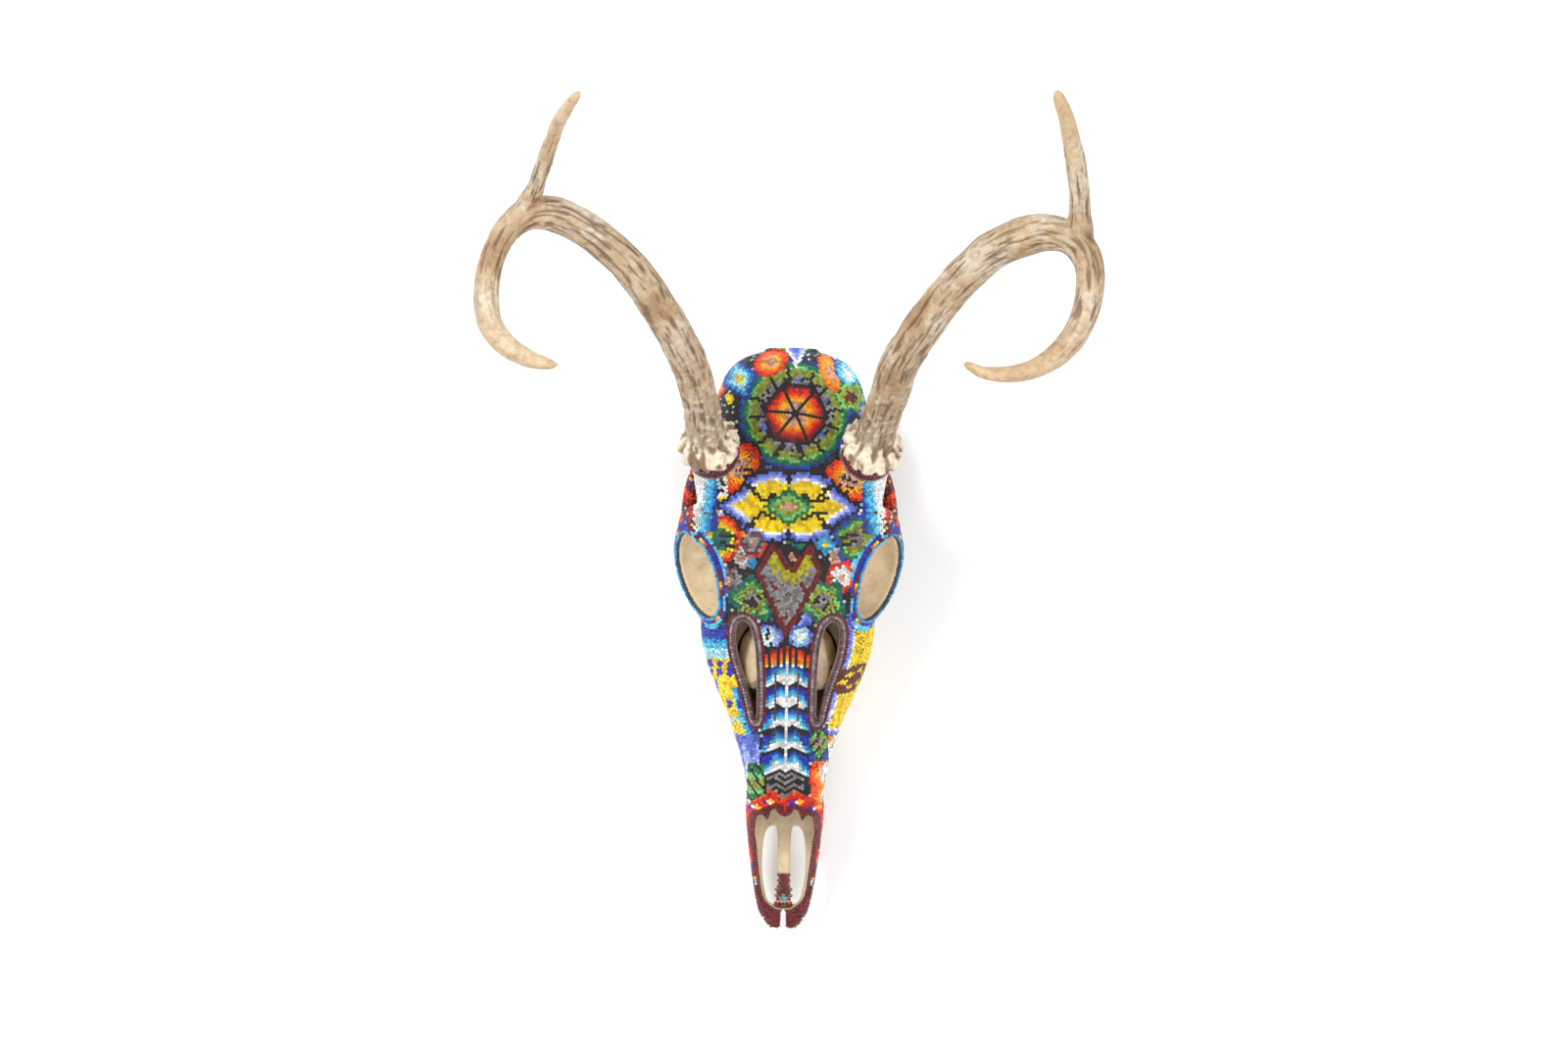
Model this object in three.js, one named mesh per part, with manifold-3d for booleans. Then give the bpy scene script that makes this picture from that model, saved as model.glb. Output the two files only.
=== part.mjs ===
// A deer skull with its antlers, without the lower jaw, its bone covered by panels of
// wax set with glass beads. Millimetres, +Z up, nose towards -Y, resting on the cheek
// teeth and on the two processes beside the neck joint.
import * as THREE from "three";
import { mergeVertices } from "three/addons/utils/BufferGeometryUtils.js";
import Module from "manifold-3d";

const wasm = await Module();
wasm.setup();

// Driving dimensions, millimetres
const ORIGIN_BACK = 195; // from the nose tip to the origin of the part
const SEAM = 0.4; // gap between neighbouring bones and between neighbouring panels
const COAT_INNER = 0.45; // inner face of the wax above the bone
const COAT_OUTER = 2.2; // outer face of the beads above the bone
const WALL = 3.4; // thickness of the bone around the nose and the brain
const TRIM = 0.14; // facets smaller than this are merged
const REACH = 200; // how far out a cutting block reaches past the skull

const BONE = { color: 0xe0cfa8, roughness: 0.75 };
const TOOTH = { color: 0xd8c8a0, roughness: 0.45 };
const ANTLER = { color: 0xb89a74, roughness: 0.8 };
// Main colour of the beads on each panel.
const BEADS = {
  coat_nose_tip: 0x8e1a18,
  coat_nose_bridge: 0x4fb0dc,
  coat_eye_rim: 0x3a62c4,
  coat_stalk: 0x6e4450,
  coat_arch: 0xb01e1c,
  coat_leaf_rim: 0x7d5a66,
  coat_cheek: 0xe8c410,
  coat_temple: 0x66c0e2,
  coat_brow: 0x6f86dc,
  coat_crown: 0x2c8a4a,
};

// ---------------------------------------------------------------- helpers

// Turns a three.js geometry into a closed solid with outward faces.
function solid(geometry) {
  const bare = geometry.clone();
  bare.deleteAttribute("normal");
  bare.deleteAttribute("uv");
  const merged = mergeVertices(bare, 1e-4);
  const points = Float32Array.from(merged.attributes.position.array);
  const faces = Uint32Array.from(merged.index.array);
  if (signedVolume(points, faces) < 0) {
    for (let i = 0; i < faces.length; i += 3) {
      [faces[i], faces[i + 1]] = [faces[i + 1], faces[i]];
    }
  }
  const mesh = new wasm.Mesh({ numProp: 3, vertProperties: points, triVerts: faces });
  return new wasm.Manifold(mesh);
}

function signedVolume(points, faces) {
  const corner = (i) => new THREE.Vector3().fromArray(points, 3 * faces[i]);
  let sum = 0;
  for (let i = 0; i < faces.length; i += 3) {
    sum += corner(i).dot(corner(i + 1).cross(corner(i + 2)));
  }
  return sum;
}

// Moves every vertex of a geometry to the place that the function gives for it.
function reshape(geometry, place) {
  const at = geometry.attributes.position;
  const point = new THREE.Vector3();
  for (let i = 0; i < at.count; i += 1) {
    point.fromBufferAttribute(at, i);
    const moved = place(point);
    at.setXYZ(i, moved.x, moved.y, moved.z);
  }
  return geometry;
}

function join(solids) {
  return solids.reduce((sum, next) => sum.add(next));
}

// Keeps the main body of a cut and drops the crumbs.
function mainBody(body) {
  const bodies = body.decompose();
  bodies.sort((a, b) => b.volume() - a.volume());
  return bodies[0];
}

function mirrored(body) {
  const mesh = body.getMesh();
  const points = Float32Array.from(mesh.vertProperties);
  const faces = Uint32Array.from(mesh.triVerts);
  for (let i = 0; i < points.length; i += 3) points[i] *= -1;
  for (let i = 0; i < faces.length; i += 3) {
    [faces[i], faces[i + 1]] = [faces[i + 1], faces[i]];
  }
  return new wasm.Manifold(new wasm.Mesh({ numProp: 3, vertProperties: points, triVerts: faces }));
}

function bothSides(body) {
  return body.add(mirrored(body));
}

// Smooth value of one column of a list of stations at a place along it.
function valueAt(stations, place, column) {
  const last = stations.length - 1;
  let i = 0;
  while (i < last - 1 && place > stations[i + 1][0]) i += 1;
  const slope = (k) => {
    const a = stations[Math.max(k - 1, 0)];
    const b = stations[Math.min(k + 1, last)];
    return (b[column] - a[column]) / (b[0] - a[0]);
  };
  const [from, to] = [stations[i], stations[i + 1]];
  const span = to[0] - from[0];
  const t = THREE.MathUtils.clamp((place - from[0]) / span, 0, 1);
  const rise = to[column] - from[column];
  const bendFrom = slope(i) * span - rise;
  const bendTo = rise - slope(i + 1) * span;
  return from[column] + rise * t + t * (1 - t) * ((1 - t) * bendFrom + t * bendTo);
}

function power(value, exponent) {
  return Math.sign(value) * Math.abs(value) ** exponent;
}

// Lofts rounded sections along Y. Each station is
// [y, half width, top z, z of the widest level, bottom z, squareness], and grow adds skin.
function loft(stations, grow, around, along) {
  const first = stations[0][0];
  const last = stations.at(-1)[0];
  const middle = (first + last) / 2;
  const tube = new THREE.CylinderGeometry(1, 1, 1, around, along);
  return reshape(tube, (p) => {
    const y = first + (last - first) * (0.5 - p.y);
    const reach = Math.hypot(p.x, p.z);
    const angle = Math.atan2(p.z, p.x);
    const [width, top, wide, bottom, square] = [1, 2, 3, 4, 5].map((c) => valueAt(stations, y, c));
    const up = Math.sin(angle) >= 0 ? top + grow - wide : wide - bottom + grow;
    const x = reach * (width + grow) * power(Math.cos(angle), 2 / square);
    const z = wide + reach * up * power(Math.sin(angle), 2 / square);
    const skin = grow * Math.sign(y - middle) * (Math.abs(p.y) > 0.499 ? 1 : 0);
    return new THREE.Vector3(x, y + skin, z);
  });
}

// Sweeps an oval along a smooth path. Each station is [x, y, z, half width, half height].
function sweep(stations, grow, around, along, flat = new THREE.Vector3(0, 0, 1), ripple = null) {
  const path = new THREE.CatmullRomCurve3(
    stations.map(([x, y, z]) => new THREE.Vector3(x, y, z)), false, "centripetal");
  const last = stations.length - 1;
  const numbered = stations.map((s, i) => [i, s[3], s[4] ?? s[3]]);
  const tube = new THREE.CylinderGeometry(1, 1, 1, around, along);
  return reshape(tube, (p) => {
    const t = 0.5 - p.y;
    const centre = path.getPoint(t);
    const ahead = path.getTangent(t);
    const side = new THREE.Vector3().crossVectors(ahead, flat).normalize();
    const over = new THREE.Vector3().crossVectors(side, ahead);
    const angle = Math.atan2(p.z, p.x);
    const swell = ripple ? ripple(angle, t) : 1;
    const width = (valueAt(numbered, t * last, 1) + grow) * swell;
    const height = (valueAt(numbered, t * last, 2) + grow) * swell;
    if (Math.abs(p.y) > 0.499) centre.addScaledVector(ahead, grow * Math.sign(-p.y));
    return centre.addScaledVector(side, p.x * width).addScaledVector(over, p.z * height);
  });
}

// A block standing on an outline. In plan the outline is x, y and the block runs along Z;
// from the side it is y, z and the block runs along X. Grow moves the outline outwards.
function block(outline, view, from, to, grow = 0) {
  const points = outline.map(([a, b]) => new THREE.Vector2(a, b));
  const turn = THREE.ShapeUtils.isClockWise(points) ? -1 : 1;
  const count = points.length;
  const grown = points.map((p, i) => {
    const before = p.clone().sub(points[(i + count - 1) % count]).normalize();
    const after = points[(i + 1) % count].clone().sub(p).normalize();
    const out = new THREE.Vector2(before.y + after.y, -before.x - after.x).multiplyScalar(turn);
    const stretch = grow / Math.max(0.35, 1 + before.dot(after));
    return p.clone().addScaledVector(out, stretch);
  });
  const shape = new THREE.Shape(grown);
  const depth = to - from + 2 * grow;
  const bar = new THREE.ExtrudeGeometry(shape, { depth, bevelEnabled: false });
  bar.translate(0, 0, from - grow);
  if (view === "side") reshape(bar, (p) => new THREE.Vector3(p.z, p.x, p.y));
  return solid(bar);
}

// A ball stretched along three directions about a centre.
function ball(centre, reach, axes = null, around = 20, rings = 12) {
  const frame = axes ?? [
    new THREE.Vector3(1, 0, 0), new THREE.Vector3(0, 1, 0), new THREE.Vector3(0, 0, 1)];
  const sphere = new THREE.SphereGeometry(1, around, rings);
  return reshape(sphere, (p) => new THREE.Vector3(...centre)
    .addScaledVector(frame[0], p.x * reach[0])
    .addScaledVector(frame[1], p.y * reach[1])
    .addScaledVector(frame[2], p.z * reach[2]));
}

// ---------------------------------------------------------------- form of the skull

const FACE = [
  [1, 6.5, 19, 15, 11.5, 2.2],
  [8, 10.5, 23, 16.5, 12, 2.3],
  [25, 13.8, 32, 20, 13, 2.4],
  [46, 16.4, 44, 26, 14, 2.5],
  [56, 17.2, 53, 30, 14, 2.4],
  [75, 18, 58, 33, 14, 2.3],
  [90, 21.5, 62, 31, 13, 2.1],
  [105, 26.6, 66, 30, 12.5, 2],
  [122, 34, 70, 33, 12.5, 1.9],
  [142, 40, 76, 40, 13, 1.9],
  [162, 40, 84, 48, 15, 2],
  [182, 36, 90, 56, 22, 2.2],
  [204, 33, 94, 62, 30, 2.3],
];
const BROW = [
  [146, 16, 76, 70, 60, 2.3],
  [156, 25, 81, 74, 62, 2.4],
  [170, 34, 87, 79, 64, 2.4],
  [184, 40.5, 91, 82, 66, 2.5],
  [197, 44.5, 93, 82, 68, 2.5],
  [204, 41, 94, 82, 68, 2.4],
  [216, 36, 94, 80, 66, 2.2],
];
const CRANIUM = [
  [196, 28, 94, 66, 32, 2.2],
  [212, 32, 97, 66, 31, 2.2],
  [228, 34.5, 98, 66, 30, 2.1],
  [244, 35.5, 95, 64, 29, 2.1],
  [258, 34.5, 89, 60, 28, 2.1],
  [268, 32, 83, 57, 28, 2.1],
  [276, 27.5, 76, 54, 29, 2.1],
  [281, 21, 70, 52, 32, 2.1],
  [284, 12, 63, 51, 37, 2.1],
];

// The eye opening is a tilted oval. Its axes run from the back corner to the front one
// and from the brow to the cheek, and the third looks outwards.
const EYE = [41.4, 176.2, 68];
const EYE_LONG = new THREE.Vector3(-0.118, -0.841, -0.529).normalize();
const EYE_DOWN = new THREE.Vector3(0.648, 0.337, -0.68).normalize();
const EYE_OUT = new THREE.Vector3().crossVectors(EYE_LONG, EYE_DOWN).normalize();
const EYE_HALF_LENGTH = 22.6;
const EYE_HALF_HEIGHT = 15;
const EYE_DEPTH = 27;

// The rim of the eye opening, a ring of bone that follows the oval.
function eyeRim(grow, thick) {
  const ring = new THREE.TorusGeometry(1, 0.2, 6, 20);
  return reshape(ring, (p) => {
    const turn = Math.atan2(p.y, p.x);
    const out = (Math.hypot(p.x, p.y) - 1) / 0.2;
    const deep = p.z / 0.2;
    const heavy = thick + grow;
    const along = EYE_HALF_LENGTH + thick - 1 + out * heavy;
    const across = EYE_HALF_HEIGHT + thick - 1 + out * heavy;
    return new THREE.Vector3(...EYE)
      .addScaledVector(EYE_LONG, Math.cos(turn) * along)
      .addScaledVector(EYE_DOWN, Math.sin(turn) * across)
      .addScaledVector(EYE_OUT, deep * heavy);
  });
}

// Cup of bone behind the eye opening.
function eyeCup(grow) {
  const cup = new THREE.SphereGeometry(1, 16, 10);
  return reshape(cup, (p) => new THREE.Vector3(...EYE)
    .addScaledVector(EYE_LONG, p.x * (EYE_HALF_LENGTH + 2.6 + grow))
    .addScaledVector(EYE_DOWN, p.y * (EYE_HALF_HEIGHT + 2.6 + grow))
    .addScaledVector(EYE_OUT, p.z * (p.z < 0 ? EYE_DEPTH * 0.5 + 2.4 + grow : 3)));
}

// Arch of the cheek, from the rim of the eye back to the braincase.
const ARCH = [
  [46.6, 183, 50, 3, 6],
  [48, 196, 49, 2.6, 6],
  [48.2, 210, 48, 2.5, 5.5],
  [45.4, 222, 47, 2.6, 5],
  [39.5, 233, 45, 3.2, 4.6],
  [30, 240, 44, 4, 5],
];
// Bar behind the eye, from the brow down to the arch.
const EYE_BAR = [
  [42.5, 200, 86, 3.6, 6],
  [46.8, 201, 74, 3, 5],
  [49, 199, 62, 3, 5],
  [48.6, 197, 50, 3.2, 6],
];
// Stalk of bone under each antler.
const PEDICLE = [
  [30, 220, 76, 14, 15],
  [33.6, 227.5, 91, 11.4, 11.8],
  [37.5, 235, 105, 10.4, 10.6],
];

// Everything that the beaded coat follows, one side and the middle, with a skin of grow.
function head(grow) {
  const middle = [
    solid(loft(FACE, grow, 18, 16)),
    solid(loft(BROW, grow, 16, 8)),
    solid(loft(CRANIUM, grow, 18, 9)),
  ];
  const side = [
    solid(eyeRim(grow, 1.9)),
    solid(eyeCup(grow)),
    solid(sweep(ARCH, grow, 8, 9)),
    solid(sweep(EYE_BAR, grow, 8, 5, new THREE.Vector3(0, 1, 0))),
    solid(sweep(PEDICLE, grow, 14, 3, new THREE.Vector3(0, 1, 0))),
  ];
  return join([...middle, bothSides(join(side))]).simplify(TRIM / 2);
}

// ---------------------------------------------------------------- hollows

// Bowl of the eye.
const eyeBowl = solid(reshape(new THREE.SphereGeometry(1, 18, 10), (p) => {
  const deep = p.z < 0 ? EYE_DEPTH * 0.5 : 30;
  return new THREE.Vector3(...EYE)
    .addScaledVector(EYE_LONG, p.x * EYE_HALF_LENGTH * (p.z > 0 ? 1 + 0.3 * p.z : 1))
    .addScaledVector(EYE_DOWN, p.y * EYE_HALF_HEIGHT * (p.z > 0 ? 1 + 0.3 * p.z : 1))
    .addScaledVector(EYE_OUT, p.z * deep);
}));
// Hollow behind the eye, between the arch and the braincase.
const TEMPLE = [
  [38.5, 196, 56, 3.4, 16],
  [40.4, 204, 56, 4.9, 20],
  [40, 214, 54, 5.2, 20],
  [37.6, 224, 52, 4.4, 17],
];
const temple = solid(sweep(TEMPLE, 0, 10, 6));

const NOSE_HOLLOW = [
  [9, 4, 60, 22, 17, 2.2],
  [14, 8.6, 66, 24, 16.5, 2.3],
  [25, 10.4, 70, 26, 17, 2.4],
  [46, 12.8, 74, 30, 18.5, 2.5],
  [51, 13.4, 68, 31, 19, 2.5],
  [56, 13.6, 50, 32, 19, 2.4],
  [75, 14.4, 54.4, 34, 19.5, 2.3],
  [90, 17.5, 58.4, 34, 20, 2.1],
  [105, 22, 62.4, 36, 21, 2],
  [122, 26, 66.4, 40, 22, 2],
  [142, 24, 70, 44, 26, 2],
  [156, 14, 66, 48, 34, 2],
];
const noseHollow = solid(loft(NOSE_HOLLOW, 0, 14, 13));

// The hollow for the brain follows the braincase, a little shorter.
const BRAIN_FRONT = 215;
const BRAIN_HOLLOW = CRANIUM.slice(1, -1).map(([y, width, top, wide, bottom, square]) => [
  BRAIN_FRONT + (y - CRANIUM[1][0]) * 0.93,
  width - WALL, top - WALL - 0.6, wide, bottom + WALL, square]);
const brainHollow = solid(loft(BRAIN_HOLLOW, 0, 16, 7));
const neckHole = solid(ball([0, 282, 43], [9.5, 16, 8.5], null, 14, 8));

// Leaf-shaped openings between the nose bones and the cheek.
const LEAF = [
  [14.8, 105], [16.4, 110.5], [18.2, 118], [21, 127], [23.6, 135], [25, 143], [24.8, 150],
  [22, 153.4], [18.6, 151], [16.2, 143], [15.1, 132], [14.6, 120],
];
const leafHole = block(LEAF, "plan", 48, 110);

// Pair of slots in the floor of the nose, one on each side of the middle bar.
const SLOT = [
  [3.6, 14], [5.6, 11], [8.4, 14], [10.4, 24], [10.8, 36], [9.6, 46], [6.6, 50], [3.4, 46],
];
const floorSlot = block(SLOT, "plan", -10, 40);

// Notch between the two nose tips.
const tipNotch = block([[-1.4, -6], [1.4, -6], [1.2, 7.5], [0, 8.5], [-1.2, 7.5]], "plan", -10, 60);

// Cut between the arch and the cheek bone above the back teeth.
const CHEEK_UNDER = [[160, -10], [160, 22], [172, 36], [188, 42], [215, 40], [245, 36], [250, -10]];
const cheekUnder = block(CHEEK_UNDER, "side", 31, 80);
// The palate is a vault between the rows of teeth.
const PALATE = [
  [60, 8, 16, 9, -6, 2.2],
  [84, 13, 18.5, 8, -6, 2.4],
  [120, 17, 20, 8, -6, 2.6],
  [160, 17, 21, 8, -6, 2.6],
  [178, 16, 26, 8, -6, 2.4],
];
const palate = solid(loft(PALATE, 0, 18, 10));

// ---------------------------------------------------------------- underside

// Ridge of the upper jaw that holds the teeth.
const TOOTH_RIDGE = [
  [18, 88, 21, 5, 7],
  [20, 98, 21, 6.6, 8.5],
  [23, 120, 22, 7.6, 9.5],
  [26, 145, 23, 8.2, 10],
  [27, 165, 24, 7.8, 10],
  [26, 177, 28, 6, 8],
];
// Process beside the neck joint, whose tip the skull rests on.
const NECK_PROCESS = [
  [23, 262, 36, 5, 6],
  [23.5, 263, 20, 4, 5],
  [22.8, 262, 8, 3.4, 4.2],
  [22.4, 261, 0, 3, 3.6],
];
// Thin wing of bone at the back of the palate.
const PALATE_WING = [
  [13, 172, 25, 2.2, 8],
  [13.4, 188, 27, 2.2, 9],
  [15, 208, 33, 2.4, 7],
];

// The right half of what no coat covers, without the bulla.
function underside(grow) {
  const turned = new THREE.Vector3(0, 1, 0);
  return join([
    solid(sweep(TOOTH_RIDGE, grow, 10, 9)),
    solid(sweep(NECK_PROCESS, grow, 10, 5, turned)),
    solid(sweep(PALATE_WING, grow, 8, 5)),
    solid(ball([10.5, 278, 38], [6.5 + grow, 8.5 + grow, 11 + grow], null, 12, 8)),
  ]);
}

function bulla(grow) {
  return solid(ball([20, 240, 27], [7.5 + grow, 12 + grow, 10 + grow], null, 12, 8));
}

// Teeth of one side, from front to back: [name, length, width, lobes].
const TEETH = [
  ["premolar_1", 9.6, 9.5, 1],
  ["premolar_2", 10.4, 11, 1],
  ["premolar_3", 10.2, 12, 1],
  ["molar_1", 13.4, 13.2, 2],
  ["molar_2", 14.6, 14, 2],
  ["molar_3", 14.4, 13.6, 2],
];
const TOOTH_FRONT = 95; // front of the first tooth
const TOOTH_GAP = 0.4;
const TOOTH_ROOT = 23; // height of the root above the chewing face
// Height and thickness of a tooth from the chewing face to the root.
const TOOTH_PROFILE = [[0, 0.88], [4, 1], [12, 0.97], [TOOTH_ROOT, 0.72]];

function tooth(centre, length, width, lobes, grow, around = 12) {
  const post = new THREE.CylinderGeometry(1, 1, 1, around, 3);
  return solid(reshape(post, (p) => {
    const [height, thick] = TOOTH_PROFILE[Math.round(3 * (0.5 + p.y))];
    const reach = Math.hypot(p.x, p.z);
    const angle = Math.atan2(p.z, p.x);
    const y = power(Math.sin(angle), 0.75) * (length / 2 + grow);
    const waist = lobes === 2 ? 1 - 0.2 * Math.exp(-(((y / length) * 7) ** 2)) : 1;
    const x = power(Math.cos(angle), 0.7) * (width / 2 + grow) * waist;
    const scale = reach * thick;
    const lift = height === TOOTH_ROOT ? grow : 0;
    return new THREE.Vector3(centre.x + x * scale, centre.y + y * scale, height + lift);
  }));
}

// Crescent hollows worn into the chewing face.
function wornPits(centre, length, width, lobes) {
  const pits = [];
  for (let i = 0; i < lobes; i += 1) {
    const y = centre.y + (lobes === 2 ? (i - 0.5) * length * 0.5 : 0);
    pits.push(solid(ball([centre.x, y, 0], [width * 0.2, length * 0.3 / lobes, 2], null, 6, 3)));
  }
  return join(pits);
}

const teeth = [];
let front = TOOTH_FRONT;
for (const [name, length, width, lobes] of TEETH) {
  const y = front + length / 2;
  const x = valueAt(TOOTH_RIDGE.map(([rx, ry]) => [ry, rx]), y, 1);
  const centre = new THREE.Vector3(x, y, 0);
  const socket = tooth(centre, length, width, lobes, SEAM);
  const body = tooth(centre, length, width, lobes, 0)
    .subtract(wornPits(centre, length, width, lobes));
  teeth.push({ name, body, socket });
  front += length + TOOTH_GAP;
}

// ---------------------------------------------------------------- zones of the bones

const halfSpace = (low, high) => block(
  [[low, -REACH], [high, -REACH], [high, 500], [low, 500]], "plan", -100, 300);
const rightHalf = halfSpace(SEAM / 2, REACH);

// A zone is where a side outline and a plan outline overlap.
function zone(side, plan, grow) {
  const across = block(side, "side", -REACH, REACH, grow);
  return plan ? across.intersect(block(plan, "plan", -100, 300, grow)) : across;
}

const strip = (inner, outer, from, to) => [[inner, from], [outer, from], [outer, to], [inner, to]];

const BONE_ZONES = [
  {
    name: "nasal",
    side: [[48, 43], [75, 48], [105, 56], [138, 64], [138, 120], [48, 120]],
    plan: [[-1, 45], [11, 45], [12.4, 100], [13, 128], [7, 138], [-1, 140]],
  },
  {
    name: "premaxilla",
    side: [[-12, -12], [36, -12], [44, 20], [62, 50], [62, 120], [-12, 120]],
  },
  {
    name: "lacrimal",
    side: [[130, 53], [153, 47], [160, 62], [158, 92], [147, 92], [131, 70]],
    plan: strip(17, 90, 120, 170),
  },
  {
    name: "zygomatic",
    side: [
      [126, 32], [148, 22], [164, 26], [190, 34], [212, 36], [214, 62], [196, 66], [176, 64],
      [160, 62], [153, 47], [128, 52]],
    plan: strip(27, 90, 120, 216),
  },
  {
    name: "frontal",
    side: [
      [128, 67], [147, 74], [158, 62], [196, 66], [214, 62], [224, 76], [224, 96], [250, 99],
      [262, 130], [128, 130]],
  },
  {
    name: "temporal",
    side: [[206, 20], [262, 20], [262, 62], [224, 74], [214, 60], [212, 36]],
    plan: strip(15, 90, 204, 264),
  },
];
const MIDDLE_ZONES = [
  {
    name: "parietal",
    side: [[216, 64], [262, 62], [266, 74], [262, 130], [216, 130]],
  },
  {
    name: "occipital",
    side: [[234, -12], [310, -12], [310, 130], [262, 130], [266, 74], [262, 40], [234, 40]],
  },
  {
    name: "sphenoid",
    side: [[158, 120], [158, 60], [170, 40], [176, -12], [240, -12], [240, 120]],
  },
  {
    name: "palatine",
    side: [[146, -12], [146, 34], [180, 34], [180, -12]],
    plan: [[-15, 140], [15, 140], [15, 190], [-15, 190]],
  },
];

// ---------------------------------------------------------------- zones of the coat

// Oval tube around the eye opening.
function eyeBand(grow) {
  const tube = new THREE.CylinderGeometry(1, 1, 1, 16, 1);
  return solid(reshape(tube, (p) => new THREE.Vector3(...EYE)
    .addScaledVector(EYE_LONG, p.x * (EYE_HALF_LENGTH + 6.5 + grow))
    .addScaledVector(EYE_DOWN, p.z * (EYE_HALF_HEIGHT + 6 + grow))
    .addScaledVector(EYE_OUT, p.y * 44 + 12)));
}

// Top part of the stalk under the antler.
function stalkBand(grow) {
  return solid(sweep([
    [34, 227, 90, 17.5, 17.5],
    [35.8, 231.5, 98.5, 17.5, 17.5],
    [38.5, 237, 109, 17.5, 17.5],
  ], grow, 16, 2, new THREE.Vector3(0, 1, 0)));
}

const COAT_LOWER_EDGE = [
  [-14, 15.5], [60, 17], [90, 21], [160, 24], [178, 32], [196, 40], [236, 38], [258, 42],
  [274, 52], [310, 56], [310, 130], [-14, 130],
];
const COAT_SIDE_ZONES = [
  { name: "coat_eye_rim", cut: eyeBand },
  { name: "coat_stalk", cut: stalkBand },
  {
    name: "coat_arch",
    side: [[203, 34], [238, 34], [238, 56], [224, 66], [203, 66]],
    plan: strip(39.5, 90, 190, 239),
  },
  {
    name: "coat_leaf_rim",
    side: [[90, 40], [168, 40], [168, 120], [90, 120]],
    plan: [
      [9, 99], [15, 96.5], [22, 104], [28, 118], [32, 134], [34, 150], [31, 162],
      [20, 162], [9, 146]],
  },
];
const COAT_MIDDLE_ZONES = [
  {
    name: "coat_nose_tip",
    side: [[-14, -12], [54, -12], [62, 24], [60, 120], [-14, 120]],
  },
  {
    name: "coat_nose_bridge",
    side: [[60, 40], [75, 46], [105, 54], [134, 62], [134, 120], [60, 120]],
    plan: [[-11.4, 55], [11.4, 55], [11.4, 133], [-11.4, 133]],
  },
];
const COAT_REST_ZONES = [
  {
    name: "coat_cheek", pair: true,
    side: [[50, -12], [200, -12], [200, 52], [160, 68], [134, 76], [134, 120], [50, 120]],
  },
  {
    name: "coat_temple", pair: true,
    side: [[182, -12], [262, -12], [262, 58], [215, 71], [215, 76], [184, 75]],
    plan: strip(10, 52, 182, 262),
  },
  { name: "coat_brow", pair: false, side: [[90, 40], [214, 40], [214, 130], [90, 130]] },
  { name: "coat_crown", pair: false, side: [[206, -12], [310, -12], [310, 130], [206, 130]] },
];

// ---------------------------------------------------------------- antlers

// The knobbly burr where an antler meets its stalk.
const BURR = [
  [37.7, 235.5, 105.7, 10.5],
  [38.2, 236.5, 107.6, 13.2],
  [39, 238.2, 111, 13.2],
  [40, 240.2, 115, 10.2],
];
const BURR_PEARLS = 11;
const pearl = (angle) => 1 + 0.06 * Math.cos(BURR_PEARLS * angle);

// Main beam of each antler, then its upright tine. The two antlers are not quite alike.
const RIGHT_BEAM = [
  [38.6, 237.4, 109.5, 9.6], [41.8, 250.5, 126, 9], [45, 259.4, 138, 9],
  [49.7, 274.8, 153, 9.1], [57.2, 288, 167, 9], [68, 302.9, 181, 8.8],
  [78.9, 315.7, 192, 8.9], [90.6, 325.3, 202, 8.9], [101.9, 330.2, 209, 8.9],
  [113, 332.3, 213, 8.5], [122.9, 329.6, 216, 7.4], [129.3, 322.1, 219, 6.8],
  [131.7, 310.9, 223, 6.4], [129.9, 298.1, 227, 6.2], [125, 286.5, 231, 5.9],
  [117.5, 277.6, 234, 5.4], [107.5, 270.9, 237, 4.6], [95, 267.6, 239, 3.8],
  [83.7, 268.2, 240, 2.8], [77.2, 271.1, 240, 1.9], [75.5, 272, 240, 0.9],
];
const RIGHT_TINE = [
  [126.8, 329.6, 216, 5.7], [126.2, 341.9, 226, 5], [124.4, 353.5, 236, 4.8],
  [121.3, 365.8, 246, 4.4], [117.3, 378.8, 256, 3.6], [114.2, 384.9, 262, 3],
  [112.6, 387.8, 266, 2.1], [112.1, 389, 267, 0.8],
];
const LEFT_BEAM = [
  [-38.6, 237.4, 109.5, 9.4], [-41.2, 249.2, 127, 8.7], [-42.3, 255.8, 136, 8.5],
  [-46.5, 271.5, 152, 8.6], [-53.8, 286.3, 167, 8.6], [-63, 300.9, 180, 8.5],
  [-72.6, 313.9, 190, 8.3], [-84.7, 325, 199, 8.2], [-97.6, 333.4, 207, 8.1],
  [-110.1, 337.6, 212, 7.9], [-121.6, 334.9, 216, 6.8], [-129.9, 325.3, 220, 6],
  [-134.6, 312.3, 224, 5.6], [-135.7, 298.6, 229, 5.7], [-133.5, 286.7, 233, 5.6],
  [-126.2, 277.2, 236, 5.1], [-116, 271.2, 238, 4], [-108.1, 269.1, 240, 2.8],
  [-104.7, 268.7, 240, 1.9], [-103.4, 268.7, 240, 0.9],
];
const LEFT_TINE = [
  [-119.2, 338.2, 214, 5.2], [-115.2, 347.5, 223, 4.3], [-111.8, 355.5, 231, 4],
  [-107.9, 364.6, 240, 3.7], [-104.1, 373.1, 249, 3.3], [-98.9, 380.3, 258, 2.7],
  [-95.3, 384.1, 263, 1.9], [-94, 385.6, 265, 0.8],
];

function antler(beam, tine) {
  const burr = solid(sweep(BURR, 0, 33, 4, new THREE.Vector3(0, 1, 0), pearl));
  const shaft = solid(sweep(beam, 0, 10, 32));
  const fork = solid(sweep(tine, 0, 8, 11, new THREE.Vector3(1, 0, 0)));
  return join([beam[0][0] < 0 ? mirrored(burr) : burr, shaft, fork]);
}

// ---------------------------------------------------------------- inside the nose

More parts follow.
